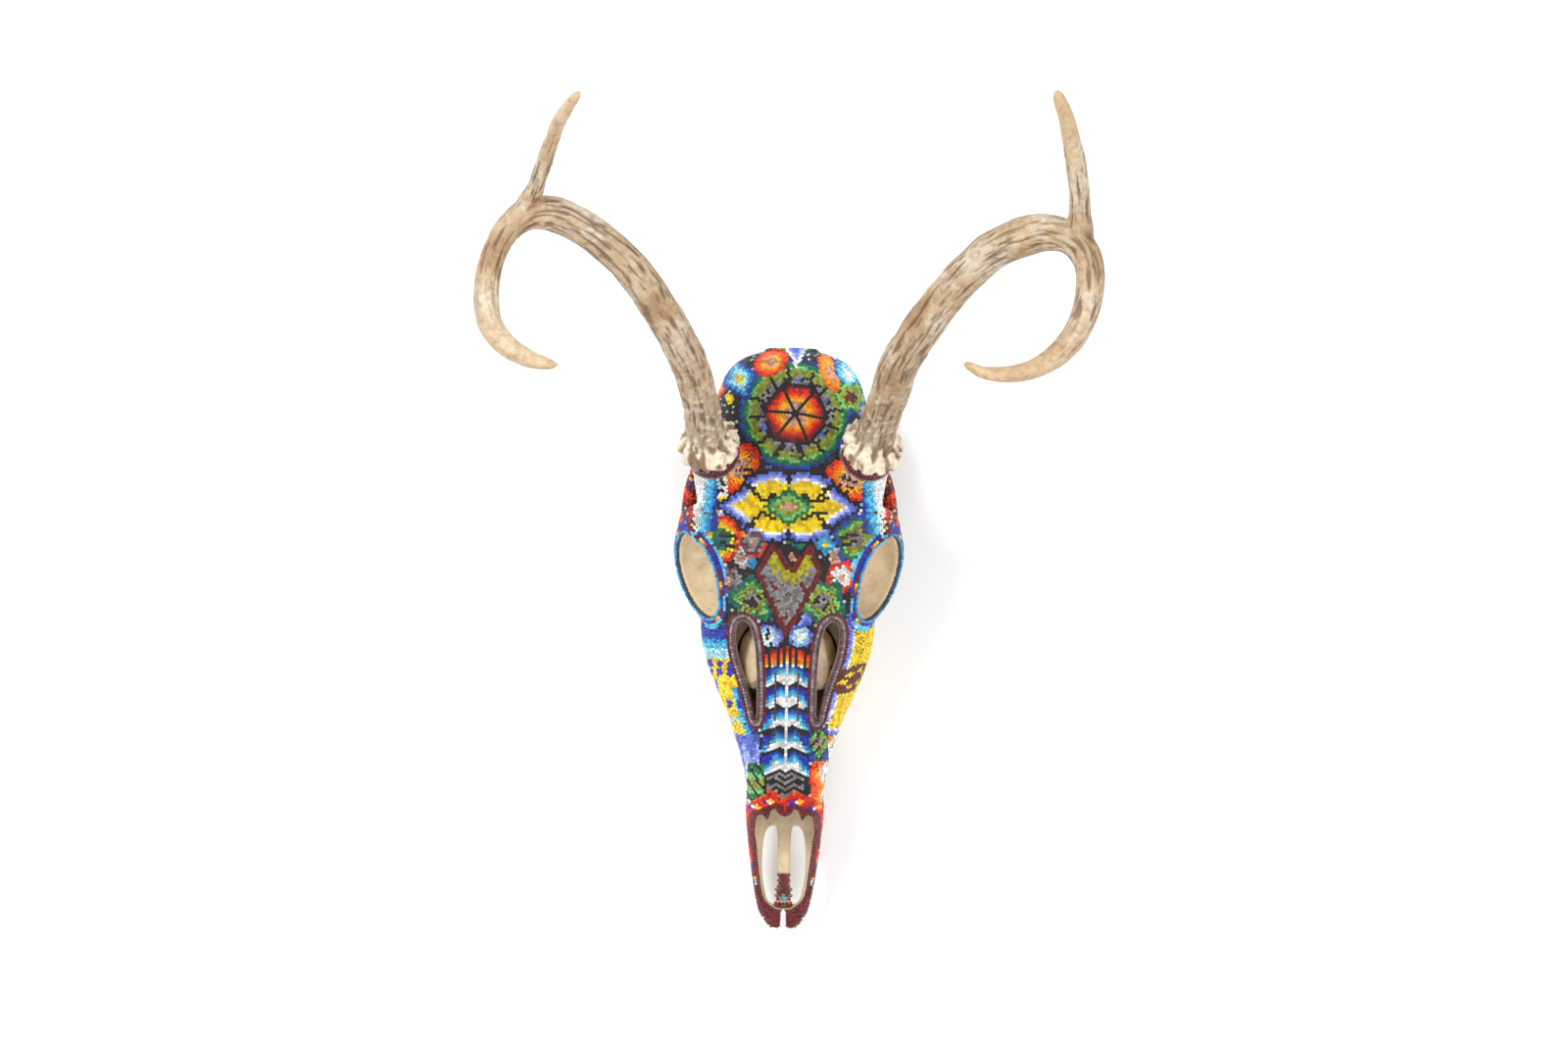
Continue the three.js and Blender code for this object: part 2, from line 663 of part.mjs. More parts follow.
const noseRoom = solid(loft(
  NOSE_HOLLOW.map(([y, w, top, wide, low, n]) => [y, w - 0.5, top - 0.5, wide, low + 0.5, n]),
  0, 14, 13));
const SEPTUM = [[62, 14], [62, 40], [72, 120], [150, 120], [150, 14]];
const septum = noseRoom
  .intersect(block(SEPTUM, "side", -0.8, 0.8))
  .subtract(palate);
// Scrolled bone that shows through the leaf-shaped opening.
const scroll = solid(ball([15.5, 136, 50], [9, 17, 15], null, 12, 8))
  .intersect(noseRoom)
  .intersect(halfSpace(1.4, REACH));

// ---------------------------------------------------------------- assembly

const hollows = join([
  bothSides(eyeBowl), bothSides(temple), bothSides(leafHole), bothSides(floorSlot),
  bothSides(cheekUnder), noseHollow, tipNotch, palate,
]);
const sockets = join(teeth.map((each) => each.socket));
// What stands below the level that the skull rests on.
const table = block(strip(-90, 90, 0, 300), "plan", -40, 0);
const bone = head(0)
  .subtract(hollows)
  .add(bothSides(underside(0)))
  .subtract(join([brainHollow, neckHole, palate, bothSides(sockets), bothSides(bulla(SEAM))]))
  .subtract(table);
// The coat stops under the burr.
const burrRoom = solid(sweep([[37.5, 235, 105, 22], [41, 242, 118, 22]], 0, 8, 1));
const coatBand = block(COAT_LOWER_EDGE, "side", -REACH, REACH);
const coat = head(COAT_OUTER)
  .subtract(head(COAT_INNER))
  .subtract(hollows)
  .subtract(bothSides(underside(SEAM)))
  .subtract(bothSides(burrRoom))
  .intersect(coatBand);

const group = new THREE.Group();
group.name = "beaded_deer_skull";

// Draws apart corners that would meet in one point, so each part stays one closed skin.
function drawApart(geometry) {
  const at = geometry.attributes.position;
  const out = geometry.attributes.normal;
  const seen = new Set();
  for (let i = 0; i < at.count; i += 1) {
    const point = new THREE.Vector3().fromBufferAttribute(at, i);
    const key = point.toArray().map((v) => v.toFixed(2)).join();
    if (seen.has(key)) {
      point.addScaledVector(new THREE.Vector3().fromBufferAttribute(out, i), -0.04);
      at.setXYZ(i, point.x, point.y, point.z);
    }
    seen.add(key);
  }
}

function addPart(name, look, body) {
  const kept = mainBody(body.asOriginal().simplify(TRIM));
  const mesh = kept.getMesh();
  const geometry = new THREE.BufferGeometry();
  const points = Float32Array.from(mesh.vertProperties);
  geometry.setAttribute("position", new THREE.BufferAttribute(points, 3));
  geometry.setIndex(new THREE.BufferAttribute(Uint32Array.from(mesh.triVerts), 1));
  geometry.translate(0, -ORIGIN_BACK, 0);
  geometry.computeVertexNormals();
  drawApart(geometry);
  const part = new THREE.Mesh(geometry, new THREE.MeshStandardMaterial(look));
  part.name = name;
  group.add(part);
}

function addPair(name, look, body) {
  const right = mainBody(body);
  addPart(`${name}_right`, look, right);
  addPart(`${name}_left`, look, mirrored(right));
}

// Cuts the zones out of a body one after the other and adds what each one holds.
function carve(body, zones, lookOf, pair) {
  let rest = body;
  for (const each of zones) {
    const cut = each.cut ?? ((grow) => zone(each.side, each.plan, grow));
    const inside = rest.intersect(cut(0));
    const paired = each.pair ?? pair;
    const wide = cut(SEAM);
    if (paired) addPair(each.name, lookOf(each.name), inside.intersect(rightHalf));
    else addPart(each.name, lookOf(each.name), inside);
    rest = rest.subtract(paired ? bothSides(wide) : wide);
  }
  return rest;
}

const boneLook = () => BONE;
let restOfBone = carve(bone, BONE_ZONES, boneLook, true);
restOfBone = carve(restOfBone, MIDDLE_ZONES, boneLook, false);
addPair("maxilla", BONE, restOfBone.intersect(rightHalf));
addPair("bulla", BONE, bulla(0));
addPart("nasal_septum", BONE, septum);
addPair("nasal_scroll", BONE, scroll);
for (const each of teeth) addPair(each.name, TOOTH, each.body);

addPart("antler_right", ANTLER, antler(RIGHT_BEAM, RIGHT_TINE));
addPart("antler_left", ANTLER, antler(LEFT_BEAM, LEFT_TINE));

const coatLook = (name) => ({ color: BEADS[name], roughness: 0.25 });
let restOfCoat = carve(coat, COAT_MIDDLE_ZONES, coatLook, false);
restOfCoat = carve(restOfCoat, COAT_SIDE_ZONES, coatLook, true);
carve(restOfCoat, COAT_REST_ZONES, coatLook, false);

export default group;
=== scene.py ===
# A deer skull with its antlers, covered by glass beads pressed into wax.
# Shapes are worked out in millimetres from the nose tip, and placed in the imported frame.
import math
import bpy
import numpy as np
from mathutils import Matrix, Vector, kdtree


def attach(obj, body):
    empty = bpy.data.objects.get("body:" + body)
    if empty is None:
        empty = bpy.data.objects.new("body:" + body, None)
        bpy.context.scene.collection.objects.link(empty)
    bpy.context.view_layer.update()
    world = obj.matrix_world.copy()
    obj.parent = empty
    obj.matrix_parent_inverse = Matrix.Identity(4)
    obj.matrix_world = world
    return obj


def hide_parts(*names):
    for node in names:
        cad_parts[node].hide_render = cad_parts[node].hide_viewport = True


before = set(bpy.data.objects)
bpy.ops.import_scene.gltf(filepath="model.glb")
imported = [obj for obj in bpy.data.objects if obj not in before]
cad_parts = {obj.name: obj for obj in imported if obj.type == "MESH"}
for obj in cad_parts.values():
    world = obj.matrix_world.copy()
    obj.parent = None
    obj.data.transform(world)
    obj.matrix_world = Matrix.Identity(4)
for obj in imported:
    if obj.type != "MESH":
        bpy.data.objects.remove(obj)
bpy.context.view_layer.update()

MM = 0.001
ORIGIN_BACK = 195.0  # from the nose tip to the origin of the row, mm
PITCH = 1.67  # from one bead to the next
BEAD_LIFT = 1.5  # middle of a bead above the bone
WAX_LIFT = 1.1  # face of the wax above the bone
rng = np.random.default_rng(7)

# ------------------------------------------------------------------ camera, light, floor

CAMERA_ABOVE = 1.8  # distance of the camera above the brow, m
VIEW_WIDTH = 0.7552  # width seen at the level of the brow, m
BROW_LEVEL = 0.080
SENSOR_WIDTH = 36.0  # mm
LIGHTS_AIM = Vector((0, 0, 0.05))
camera_data = bpy.data.cameras.new("camera")
camera = bpy.data.objects.new("camera", camera_data)
bpy.context.scene.collection.objects.link(camera)
camera_data.sensor_width = SENSOR_WIDTH
camera_data.lens = SENSOR_WIDTH * CAMERA_ABOVE / VIEW_WIDTH
camera_data.clip_end = 20.0
camera.location = (-0.0026, 0.0060, BROW_LEVEL + CAMERA_ABOVE)
camera.rotation_euler = (0.0, 0.0, math.radians(0.9))
bpy.context.scene.camera = camera


def area_light(name, place, size, power):
    data = bpy.data.lights.new(name, "AREA")
    data.shape = "DISK"
    data.size = size
    data.energy = power
    light = bpy.data.objects.new(name, data)
    light.location = place
    light.rotation_euler = (LIGHTS_AIM - Vector(place)).to_track_quat("-Z", "Y").to_euler()
    bpy.context.scene.collection.objects.link(light)


area_light("key", (-0.8, 0.8, 1.6), 0.55, 22)
area_light("fill", (1.1, 0.2, 1.4), 1.0, 10)
area_light("front", (0.0, -1.3, 1.3), 0.9, 8)
world = bpy.data.worlds.new("world")
bpy.context.scene.world = world
world.use_nodes = True
background = world.node_tree.nodes["Background"]
background.inputs["Color"].default_value = (0.95, 0.97, 1.0, 1)
background.inputs["Strength"].default_value = 0.78
bpy.context.scene.view_settings.view_transform = "Standard"

# ------------------------------------------------------------------ smooth tables and paths


def smooth_table(table, places):
    """Every column of a table of stations at the given places along its first column."""
    t = np.asarray(table, float)
    x = t[:, 0]
    last = len(t) - 1
    step = np.arange(len(t))
    low, high = np.maximum(step - 1, 0), np.minimum(step + 1, last)
    slope = (t[high, 1:] - t[low, 1:]) / (x[high] - x[low])[:, None]
    places = np.asarray(places, float)
    i = np.clip(np.searchsorted(x, places, side="right") - 1, 0, last - 1)
    span = (x[i + 1] - x[i])[:, None]
    u = np.clip((places - x[i])[:, None] / span, 0, 1)
    rise = t[i + 1, 1:] - t[i, 1:]
    start = slope[i] * span - rise
    end = rise - slope[i + 1] * span
    return t[i, 1:] + rise * u + u * (1 - u) * ((1 - u) * start + u * end)


def smooth_path(stations, count):
    """Points, directions and radii along a path of stations [x, y, z, radius, (height)]."""
    s = np.asarray([list(row) + [row[3]] * (5 - len(row)) for row in stations], float)
    walked = np.concatenate([[0], np.cumsum(np.linalg.norm(np.diff(s[:, :3], axis=0), axis=1))])
    out = smooth_table(np.column_stack([walked, s]), np.linspace(0, walked[-1], count))
    points = out[:, :3]
    ahead = np.gradient(points, axis=0)
    ahead /= np.linalg.norm(ahead, axis=1)[:, None]
    return points, ahead, out[:, 3], out[:, 4], walked[-1]


# ------------------------------------------------------------------ form of the skull

FACE = [
    [1, 6.5, 19, 15, 11.5, 2.2],
    [8, 10.5, 23, 16.5, 12, 2.3],
    [25, 13.8, 32, 20, 13, 2.4],
    [46, 16.4, 44, 26, 14, 2.5],
    [56, 17.2, 53, 30, 14, 2.4],
    [75, 18, 58, 33, 14, 2.3],
    [90, 21.5, 62, 31, 13, 2.1],
    [105, 26.6, 66, 30, 12.5, 2],
    [122, 34, 70, 33, 12.5, 1.9],
    [142, 40, 76, 40, 13, 1.9],
    [162, 40, 84, 48, 15, 2],
    [182, 36, 90, 56, 22, 2.2],
    [204, 33, 94, 62, 30, 2.3],
]
BROW = [
    [146, 16, 76, 70, 60, 2.3],
    [156, 25, 81, 74, 62, 2.4],
    [170, 34, 87, 79, 64, 2.4],
    [184, 40.5, 91, 82, 66, 2.5],
    [197, 44.5, 93, 82, 68, 2.5],
    [204, 41, 94, 82, 68, 2.4],
    [216, 36, 94, 80, 66, 2.2],
]
CRANIUM = [
    [196, 28, 94, 66, 32, 2.2],
    [212, 32, 97, 66, 31, 2.2],
    [228, 34.5, 98, 66, 30, 2.1],
    [244, 35.5, 95, 64, 29, 2.1],
    [258, 34.5, 89, 60, 28, 2.1],
    [268, 32, 83, 57, 28, 2.1],
    [276, 27.5, 76, 54, 29, 2.1],
    [281, 21, 70, 52, 32, 2.1],
    [284, 12, 63, 51, 37, 2.1],
]
WALL = 3.4
BRAIN_HOLLOW = [[215 + (y - CRANIUM[1][0]) * 0.93, w - WALL, top - WALL - 0.6, wide, low + WALL, n]
                for y, w, top, wide, low, n in CRANIUM[1:-1]]
NOSE_HOLLOW = [
    [9, 4, 60, 22, 17, 2.2],
    [14, 9.4, 66, 24, 16.5, 2.3],
    [25, 11.6, 70, 26, 17, 2.4],
    [47.5, 14.2, 74, 30, 19.5, 2.5],
    [51, 14.4, 43.5, 31, 20.5, 2.5],
    [56, 14.6, 49.4, 32, 21, 2.4],
    [75, 14.8, 54.4, 34, 22, 2.3],
    [90, 17.5, 58.4, 34, 22.5, 2.1],
    [105, 22, 62.4, 36, 21, 2],
    [122, 26, 66.4, 40, 22, 2],
    [142, 24, 70, 44, 26, 2],
    [156, 14, 66, 48, 34, 2],
]
PALATE = [
    [60, 8, 14.5, 9, -6, 2.2],
    [84, 13, 17.5, 8, -6, 2.4],
    [120, 17, 20, 8, -6, 2.6],
    [160, 17, 21, 8, -6, 2.6],
    [178, 16, 26, 8, -6, 2.4],
]


def unit(vector):
    vector = np.asarray(vector, float)
    return vector / np.linalg.norm(vector)


EYE = np.array([41.4, 176.2, 68.0])
EYE_LONG = unit([-0.118, -0.841, -0.529])
EYE_DOWN = unit([0.648, 0.337, -0.68])
EYE_OUT = unit(np.cross(EYE_LONG, EYE_DOWN))
EYE_HALF_LENGTH = 22.6
EYE_HALF_HEIGHT = 15.0
EYE_DEPTH = 27.0
RIM_THICK = 1.9

ARCH = [[46.6, 183, 50, 3, 6], [48, 196, 49, 2.6, 6], [48.2, 210, 48, 2.5, 5.5],
        [45.4, 222, 47, 2.6, 5], [39.5, 233, 45, 3.2, 4.6], [30, 240, 44, 4, 5]]
EYE_BAR = [[42.5, 200, 86, 3.6, 6], [46.8, 201, 74, 3, 5], [49, 199, 62, 3, 5],
           [48.6, 197, 50, 3.2, 6]]
PEDICLE = [[30, 220, 76, 14, 15], [33.6, 227.5, 91, 11.4, 11.8], [37.5, 235, 105, 10.4, 10.6]]
TEMPLE = [[38.5, 196, 56, 3.4, 16], [40.4, 204, 56, 4.9, 20], [40, 214, 54, 5.2, 20],
          [37.6, 224, 52, 4.4, 17]]
TOOTH_RIDGE = [[18, 88, 21, 5, 7], [20, 98, 21, 6.6, 8.5], [23, 120, 22, 7.6, 9.5],
               [26, 145, 23, 8.2, 10], [27, 165, 24, 7.8, 10], [26, 177, 28, 6, 8]]
NECK_PROCESS = [[23, 262, 36, 5, 6], [23.5, 263, 20, 4, 5], [22.8, 262, 8, 3.4, 4.2],
                [22.4, 261, 0.4, 3, 3.6]]
PALATE_WING = [[13, 172, 25, 2.2, 8], [13.4, 188, 27, 2.2, 9], [15, 208, 33, 2.4, 7]]
LEAF = [[14.8, 105], [16.4, 110.5], [18.2, 118], [21, 127], [23.6, 135], [25, 143],
        [24.8, 150], [22, 153.4], [18.6, 151], [16.2, 143], [15.1, 132], [14.6, 120]]
NASAL_EDGE = [[-2, 20], [11.6, 20], [14.4, 48], [14, 55.5], [12.6, 57.8], [10.6, 57.4], [8.7, 53.8],
              [7.2, 57.5], [6.2, 60.4], [5.2, 61.2], [4.3, 60.2], [3.2, 58.2], [1.6, 57.3],
              [-2, 57.2]]
SLOT = [[3.6, 14], [5.6, 11], [8.4, 14], [10.4, 24], [10.8, 36], [9.6, 46], [6.6, 50],
        [3.4, 46]]
TIP_NOTCH = [[-1.4, -6], [1.4, -6], [1.2, 7.5], [0, 8.5], [-1.2, 7.5]]
CHEEK_UNDER = [[160, -10], [160, 22], [172, 36], [188, 42], [215, 40], [245, 36], [250, -10]]

# ------------------------------------------------------------------ distance fields

STEP = 0.85
gx = np.arange(0, 73, STEP).astype(np.float32)
gy = np.arange(-6, 293, STEP).astype(np.float32)
gz = np.arange(-3, 116, STEP).astype(np.float32)
FAR = 40.0


def smooth_min(a, b, k):
    h = np.maximum(k - np.abs(a - b), 0) / k
    return np.minimum(a, b) - h * h * (k * 0.25)


def smooth_max(a, b, k):
    return -smooth_min(-a, -b, k)


def oval_distance(a, b, half_a, half_b):
    """Roughly the distance to an oval, from offsets a and b and its two half widths."""
    rho = np.hypot(a / half_a, b / half_b) + 1e-4
    return np.hypot(a, b) * (1 - 1 / rho) + np.where(rho < 0.02, -np.minimum(half_a, half_b), 0)


def loft_field(stations):
    """Distance to a loft of rounded sections along y, over the whole grid."""
    first, last = stations[0][0], stations[-1][0]
    near = np.where((gy > first - 14) & (gy < last + 14))[0]
    y = gy[near]
    w, top, wide, low, n = [c.astype(np.float32)[None, :, None]
                            for c in smooth_table(stations, y).T]
    dz = gz[None, None, :] - wide
    high = np.where(dz >= 0, top - wide, wide - low)
    x = gx[:, None, None] + np.float32(0.01)
    rho = ((x / w) ** n + (np.abs(dz) / high) ** n) ** (1 / n)
    d = np.sqrt(x * x + dz * dz) * (1 - 1 / np.maximum(rho, 0.01))
    d = smooth_max(d, np.maximum(first - y, y - last)[None, :, None], 2.0)
    out = np.full((len(gx), len(gy), len(gz)), FAR, np.float32)
    out[:, near, :] = d
    return out


def window(low, high):
    """The part of the grid inside a box, and the coordinates of its points."""
    cut = tuple(slice(int(np.searchsorted(g, a)), int(np.searchsorted(g, b)))
                for g, a, b in zip((gx, gy, gz), low, high))
    points = np.stack(np.meshgrid(gx[cut[0]], gy[cut[1]], gz[cut[2]], indexing="ij"), -1)
    return cut, points


def sweep_distance(points, stations, flat, count=40):
    """Distance to an oval swept along a path."""
    centre, ahead, wide, high, _ = smooth_path(stations, count)
    shape = points.shape[:-1]
    p = points.reshape(-1, 3)
    nearest = np.zeros(len(p), int)
    best = np.full(len(p), np.inf)
    for i, c in enumerate(centre):
        d = ((p - c) ** 2).sum(1)
        closer = d < best
        nearest[closer] = i
        best[closer] = d[closer]
    side = np.cross(ahead, flat)
    side /= np.linalg.norm(side, axis=1)[:, None]
    over = np.cross(side, ahead)
    off = p - centre[nearest]
    a = (off * side[nearest]).sum(1)
    b = (off * over[nearest]).sum(1)
    t = (off * ahead[nearest]).sum(1)
    d = oval_distance(a, b, wide[nearest], high[nearest])
    end = np.where(nearest == 0, -t, np.where(nearest == count - 1, t, -FAR))
    return smooth_max(d, end, 1.5).reshape(shape)


def eye_parts(points):
    off = points - EYE
    return off @ EYE_LONG, off @ EYE_DOWN, off @ EYE_OUT


def ellipsoid(points, centre, reach):
    off = (points - np.asarray(centre, float)) / np.asarray(reach, float)
    rho = np.linalg.norm(off, axis=-1) + 1e-4
    return np.linalg.norm(points - np.asarray(centre, float), axis=-1) * (1 - 1 / rho)


def polygon_distance(a, b, outline):
    """Distance to an outline, below zero inside it."""
    corners = np.asarray(outline, float)
    best = np.full(np.shape(a), np.inf)
    inside = np.zeros(np.shape(a), bool)
    for (x0, y0), (x1, y1) in zip(corners, np.roll(corners, -1, axis=0)):
        ex, ey = x1 - x0, y1 - y0
        t = np.clip(((a - x0) * ex + (b - y0) * ey) / (ex * ex + ey * ey + 1e-9), 0, 1)
        best = np.minimum(best, np.hypot(a - x0 - t * ex, b - y0 - t * ey))
        crossing = (y0 > b) != (y1 > b)
        at = x0 + (b - y0) * ex / (ey if ey else 1e-9)
        inside ^= crossing & (a < at)
    return np.where(inside, -best, best)


def rounded(outline, count=7):
    """A closed outline with its corners turned into a smooth curve."""
    corners = np.asarray(outline, float)
    before, after = np.roll(corners, 1, axis=0), np.roll(corners, -1, axis=0)
    beyond = np.roll(corners, -2, axis=0)
    t = (np.arange(count) / count)[None, :, None]
    a, b, c, d = (v[:, None] for v in (before, corners, after, beyond))
    curve = b + 0.5 * t * (c - a + t * (2 * a - 5 * b + 4 * c - d + t * (3 * (b - c) + d - a)))
    return curve.reshape(-1, 2)


def blend_in(field, low, high, distance, k, sign=1):
    """Joins a local shape to a field, or cuts it out where sign is below zero."""
    cut, points = window(low, high)
    d = distance(points)
    field[cut] = smooth_min(field[cut], d, k) if sign > 0 else smooth_max(field[cut], -d, k)


UP, ACROSS = np.array([0, 0, 1.0]), np.array([0, 1.0, 0])


def rim_distance(points):
    a, b, out = eye_parts(points)
    ring = oval_distance(a, b, EYE_HALF_LENGTH + RIM_THICK - 1, EYE_HALF_HEIGHT + RIM_THICK - 1)
    return np.hypot(ring, out) - RIM_THICK


def cup_distance(points):
    a, b, out = eye_parts(points)
    deep = np.where(out < 0, EYE_DEPTH * 0.5 + 2.4, 3.0)
    scaled = np.stack([a / (EYE_HALF_LENGTH + 2.6), b / (EYE_HALF_HEIGHT + 2.6), out / deep], -1)
    rho = np.linalg.norm(scaled, axis=-1) + 1e-4
    return np.sqrt(a * a + b * b + out * out) * (1 - 1 / rho)


def bowl_distance(points):
    a, b, out = eye_parts(points)
    flare = 1 + 0.012 * np.maximum(out, 0)
    ring = oval_distance(a, b, EYE_HALF_LENGTH * flare, EYE_HALF_HEIGHT * flare)
    deep = EYE_DEPTH * 0.5
    scaled = np.stack([a / EYE_HALF_LENGTH, b / EYE_HALF_HEIGHT, out / deep], -1)
    rho = np.linalg.norm(scaled, axis=-1) + 1e-4
    inner = np.sqrt(a * a + b * b + out * out) * (1 - 1 / rho)
    return np.where(out > 0, ring, inner)


# The head without its hollows, right half
head = loft_field(FACE)
head = smooth_min(head, loft_field(BROW), 7.0)
head = smooth_min(head, loft_field(CRANIUM), 7.0)
blend_in(head, (0, 130, 25), (73, 225, 110), cup_distance, 3.5)
blend_in(head, (0, 130, 25), (73, 225, 110), rim_distance, 3.5)
blend_in(head, (20, 170, 30), (73, 255, 66), lambda p: sweep_distance(p, ARCH, UP), 4.0)
blend_in(head, (35, 185, 35), (73, 215, 104), lambda p: sweep_distance(p, EYE_BAR, ACROSS), 4.0)
blend_in(head, (8, 200, 60), (62, 262, 116), lambda p: sweep_distance(p, PEDICLE, ACROSS), 8.0)

# Everything that is cut out of it
holes = loft_field(NOSE_HOLLOW)
holes = np.minimum(holes, loft_field(PALATE))
plan_x, plan_y = gx[:, None], gy[None, :]
LEAF, SLOT = rounded(LEAF), rounded(SLOT)
leaf = polygon_distance(plan_x + 0 * plan_y, plan_y + 0 * plan_x, LEAF)[:, :, None]
slot = polygon_distance(plan_x + 0 * plan_y, plan_y + 0 * plan_x, SLOT)[:, :, None]
notch = polygon_distance(plan_x + 0 * plan_y, plan_y + 0 * plan_x, TIP_NOTCH)[:, :, None]
height = gz[None, None, :]
holes = np.minimum(holes, np.maximum(leaf, 48 - height))
holes = np.minimum(holes, np.maximum(slot, height - 40))
edge = polygon_distance(plan_x + 0 * plan_y, plan_y + 0 * plan_x, NASAL_EDGE)[:, :, None]
holes = np.minimum(holes, np.maximum(edge, 36 - height))
holes = np.minimum(holes, notch)
under = polygon_distance(gy[:, None] + 0 * gz[None, :], gz[None, :] + 0 * gy[:, None], CHEEK_UNDER)
holes = np.minimum(holes, smooth_max(under[None], (31 - gx)[:, None, None], 4.0))
holes = holes.astype(np.float32)
blend_in(holes, (0, 130, 25), (73, 225, 116), bowl_distance, 0.8)
blend_in(holes, (25, 185, 15), (62, 236, 96), lambda p: sweep_distance(p, TEMPLE, UP), 2.0)

bone = smooth_max(head, -holes, 1.6)
# The back of the eye cup stays whole where the temple is hollowed behind it
blend_in(bone, (0, 130, 25), (73, 225, 110),
         lambda p: np.maximum(cup_distance(p) - 0.6, -bowl_distance(p)), 1.0)


def neck_side(points):
    return sweep_distance(points, NECK_PROCESS, ACROSS)


blend_in(bone, (5, 75, 5), (45, 190, 45), lambda p: sweep_distance(p, TOOTH_RIDGE, UP), 3.0)
blend_in(bone, (10, 245, -3), (40, 280, 50), neck_side, 4.0)
blend_in(bone, (2, 160, 8), (30, 220, 50), lambda p: sweep_distance(p, PALATE_WING, UP), 3.0)
blend_in(bone, (0, 262, 20), (25, 292, 56),
         lambda p: ellipsoid(p, (10.5, 278, 38), (6.5, 8.5, 11)), 3.0)
inner = smooth_min(loft_field(BRAIN_HOLLOW), loft_field(PALATE), 0.5)
blend_in(inner, (0, 255, 25), (25, 293, 62), lambda p: ellipsoid(p, (0, 282, 43), (9.5, 16, 8.5)), 1.0)
bone = smooth_max(bone, -inner, 1.2)
bone = np.maximum(bone, -height + 0.0)


def whole(half):
    """A field of the right half, mirrored to both halves."""
    return np.concatenate([half[:0:-1], half], axis=0)


full_x = np.concatenate([-gx[:0:-1], gx])
start = np.array([full_x[0], gy[0], gz[0]], float)


def sample(field, points):
    """Value of a field at any points."""
    p = (points - start) / STEP
    top = np.array(field.shape) - 1.001
    p = np.clip(p, 0, top)
    i = p.astype(int)
    f = p - i
    value = 0
    for a in (0, 1):
        for b in (0, 1):
            for c in (0, 1):
                weight = (np.abs(1 - a - f[:, 0]) * np.abs(1 - b - f[:, 1])
                          * np.abs(1 - c - f[:, 2]))
                value = value + weight * field[i[:, 0] + a, i[:, 1] + b, i[:, 2] + c]
    return value


def slope(field, points, reach=0.7):
    """Direction in which a field grows fastest, and how fast."""
    parts = []
    for axis in range(3):
        shift = np.zeros(3)
        shift[axis] = reach
        parts.append(sample(field, points + shift) - sample(field, points - shift))
    grown = np.stack(parts, -1) / (2 * reach)
    size = np.linalg.norm(grown, axis=1)
    return grown / np.maximum(size, 1e-6)[:, None], size


def onto(field, points, level, rounds=5):
    """Moves points onto a level of a field."""
    p = np.array(points, float)
    for _ in range(rounds):
        normal, size = slope(field, p)
        gap = (sample(field, p) - level) / np.maximum(size, 0.3)
        p -= normal * np.clip(gap, -2.5, 2.5)[:, None]
    return p


def surface_net(field, origin, step):
    """Quads on the zero level of a field, from its outside."""
    inside = field < 0
    core = inside[:-1, :-1, :-1]
    mixed = np.zeros(core.shape, bool)
    shifts = [(a, b, c) for a in (0, 1) for b in (0, 1) for c in (0, 1)]
    nx, ny, nz = core.shape
    for a, b, c in shifts[1:]:
        mixed |= inside[a:a + nx, b:b + ny, c:c + nz] != core
    cells = np.argwhere(mixed)
    number = np.full(core.shape, -1, np.int64)
    number[tuple(cells.T)] = np.arange(len(cells))
    value = np.stack([field[cells[:, 0] + a, cells[:, 1] + b, cells[:, 2] + c]
                      for a, b, c in shifts], 1).astype(float)
    corner = np.array(shifts, float)
    total, count = np.zeros((len(cells), 3)), np.zeros(len(cells))
    for i in range(8):
        for j in range(i + 1, 8):
            if np.abs(corner[i] - corner[j]).sum() != 1:
                continue
            crosses = (value[:, i] < 0) != (value[:, j] < 0)
            t = value[:, i] / np.where(crosses, value[:, i] - value[:, j], 1)
            place = corner[i] + (corner[j] - corner[i]) * t[:, None]
            total += np.where(crosses[:, None], place, 0)
            count += crosses
    points = (cells + total / count[:, None]) * step + origin
    quads = []
    for axis in range(3):
        other = [(1, 2), (2, 0), (0, 1)][axis]
        ahead = np.moveaxis(inside, axis, 0)
        change = ahead[1:] != ahead[:-1]
        at = np.argwhere(change)
        index = np.zeros_like(at)
        index[:, axis] = at[:, 0]
        rest = [k for k in range(3) if k != axis]
        index[:, rest[0]], index[:, rest[1]] = at[:, 1], at[:, 2]
        ok = (index[:, other[0]] > 0) & (index[:, other[1]] > 0)
        ok &= (index[:, other[0]] < core.shape[other[0]]) & (index[:, other[1]] < core.shape[other[1]])
        index = index[ok]
        u, v = np.zeros(3, int), np.zeros(3, int)
        u[other[0]], v[other[1]] = 1, 1
        ring = [number[tuple((index - u - v).T)], number[tuple((index - v).T)],
                number[tuple(index.T)], number[tuple((index - u).T)]]
        quad = np.stack(ring, 1)
        flip = ~inside[tuple(index.T)]
        quad[flip] = quad[flip][:, ::-1]
        quads.append(quad)
    return points, np.concatenate(quads)


# ------------------------------------------------------------------ zones of bones and panels

def strip(inner, outer, low, high):
    return [[inner, low], [outer, low], [outer, high], [inner, high]]


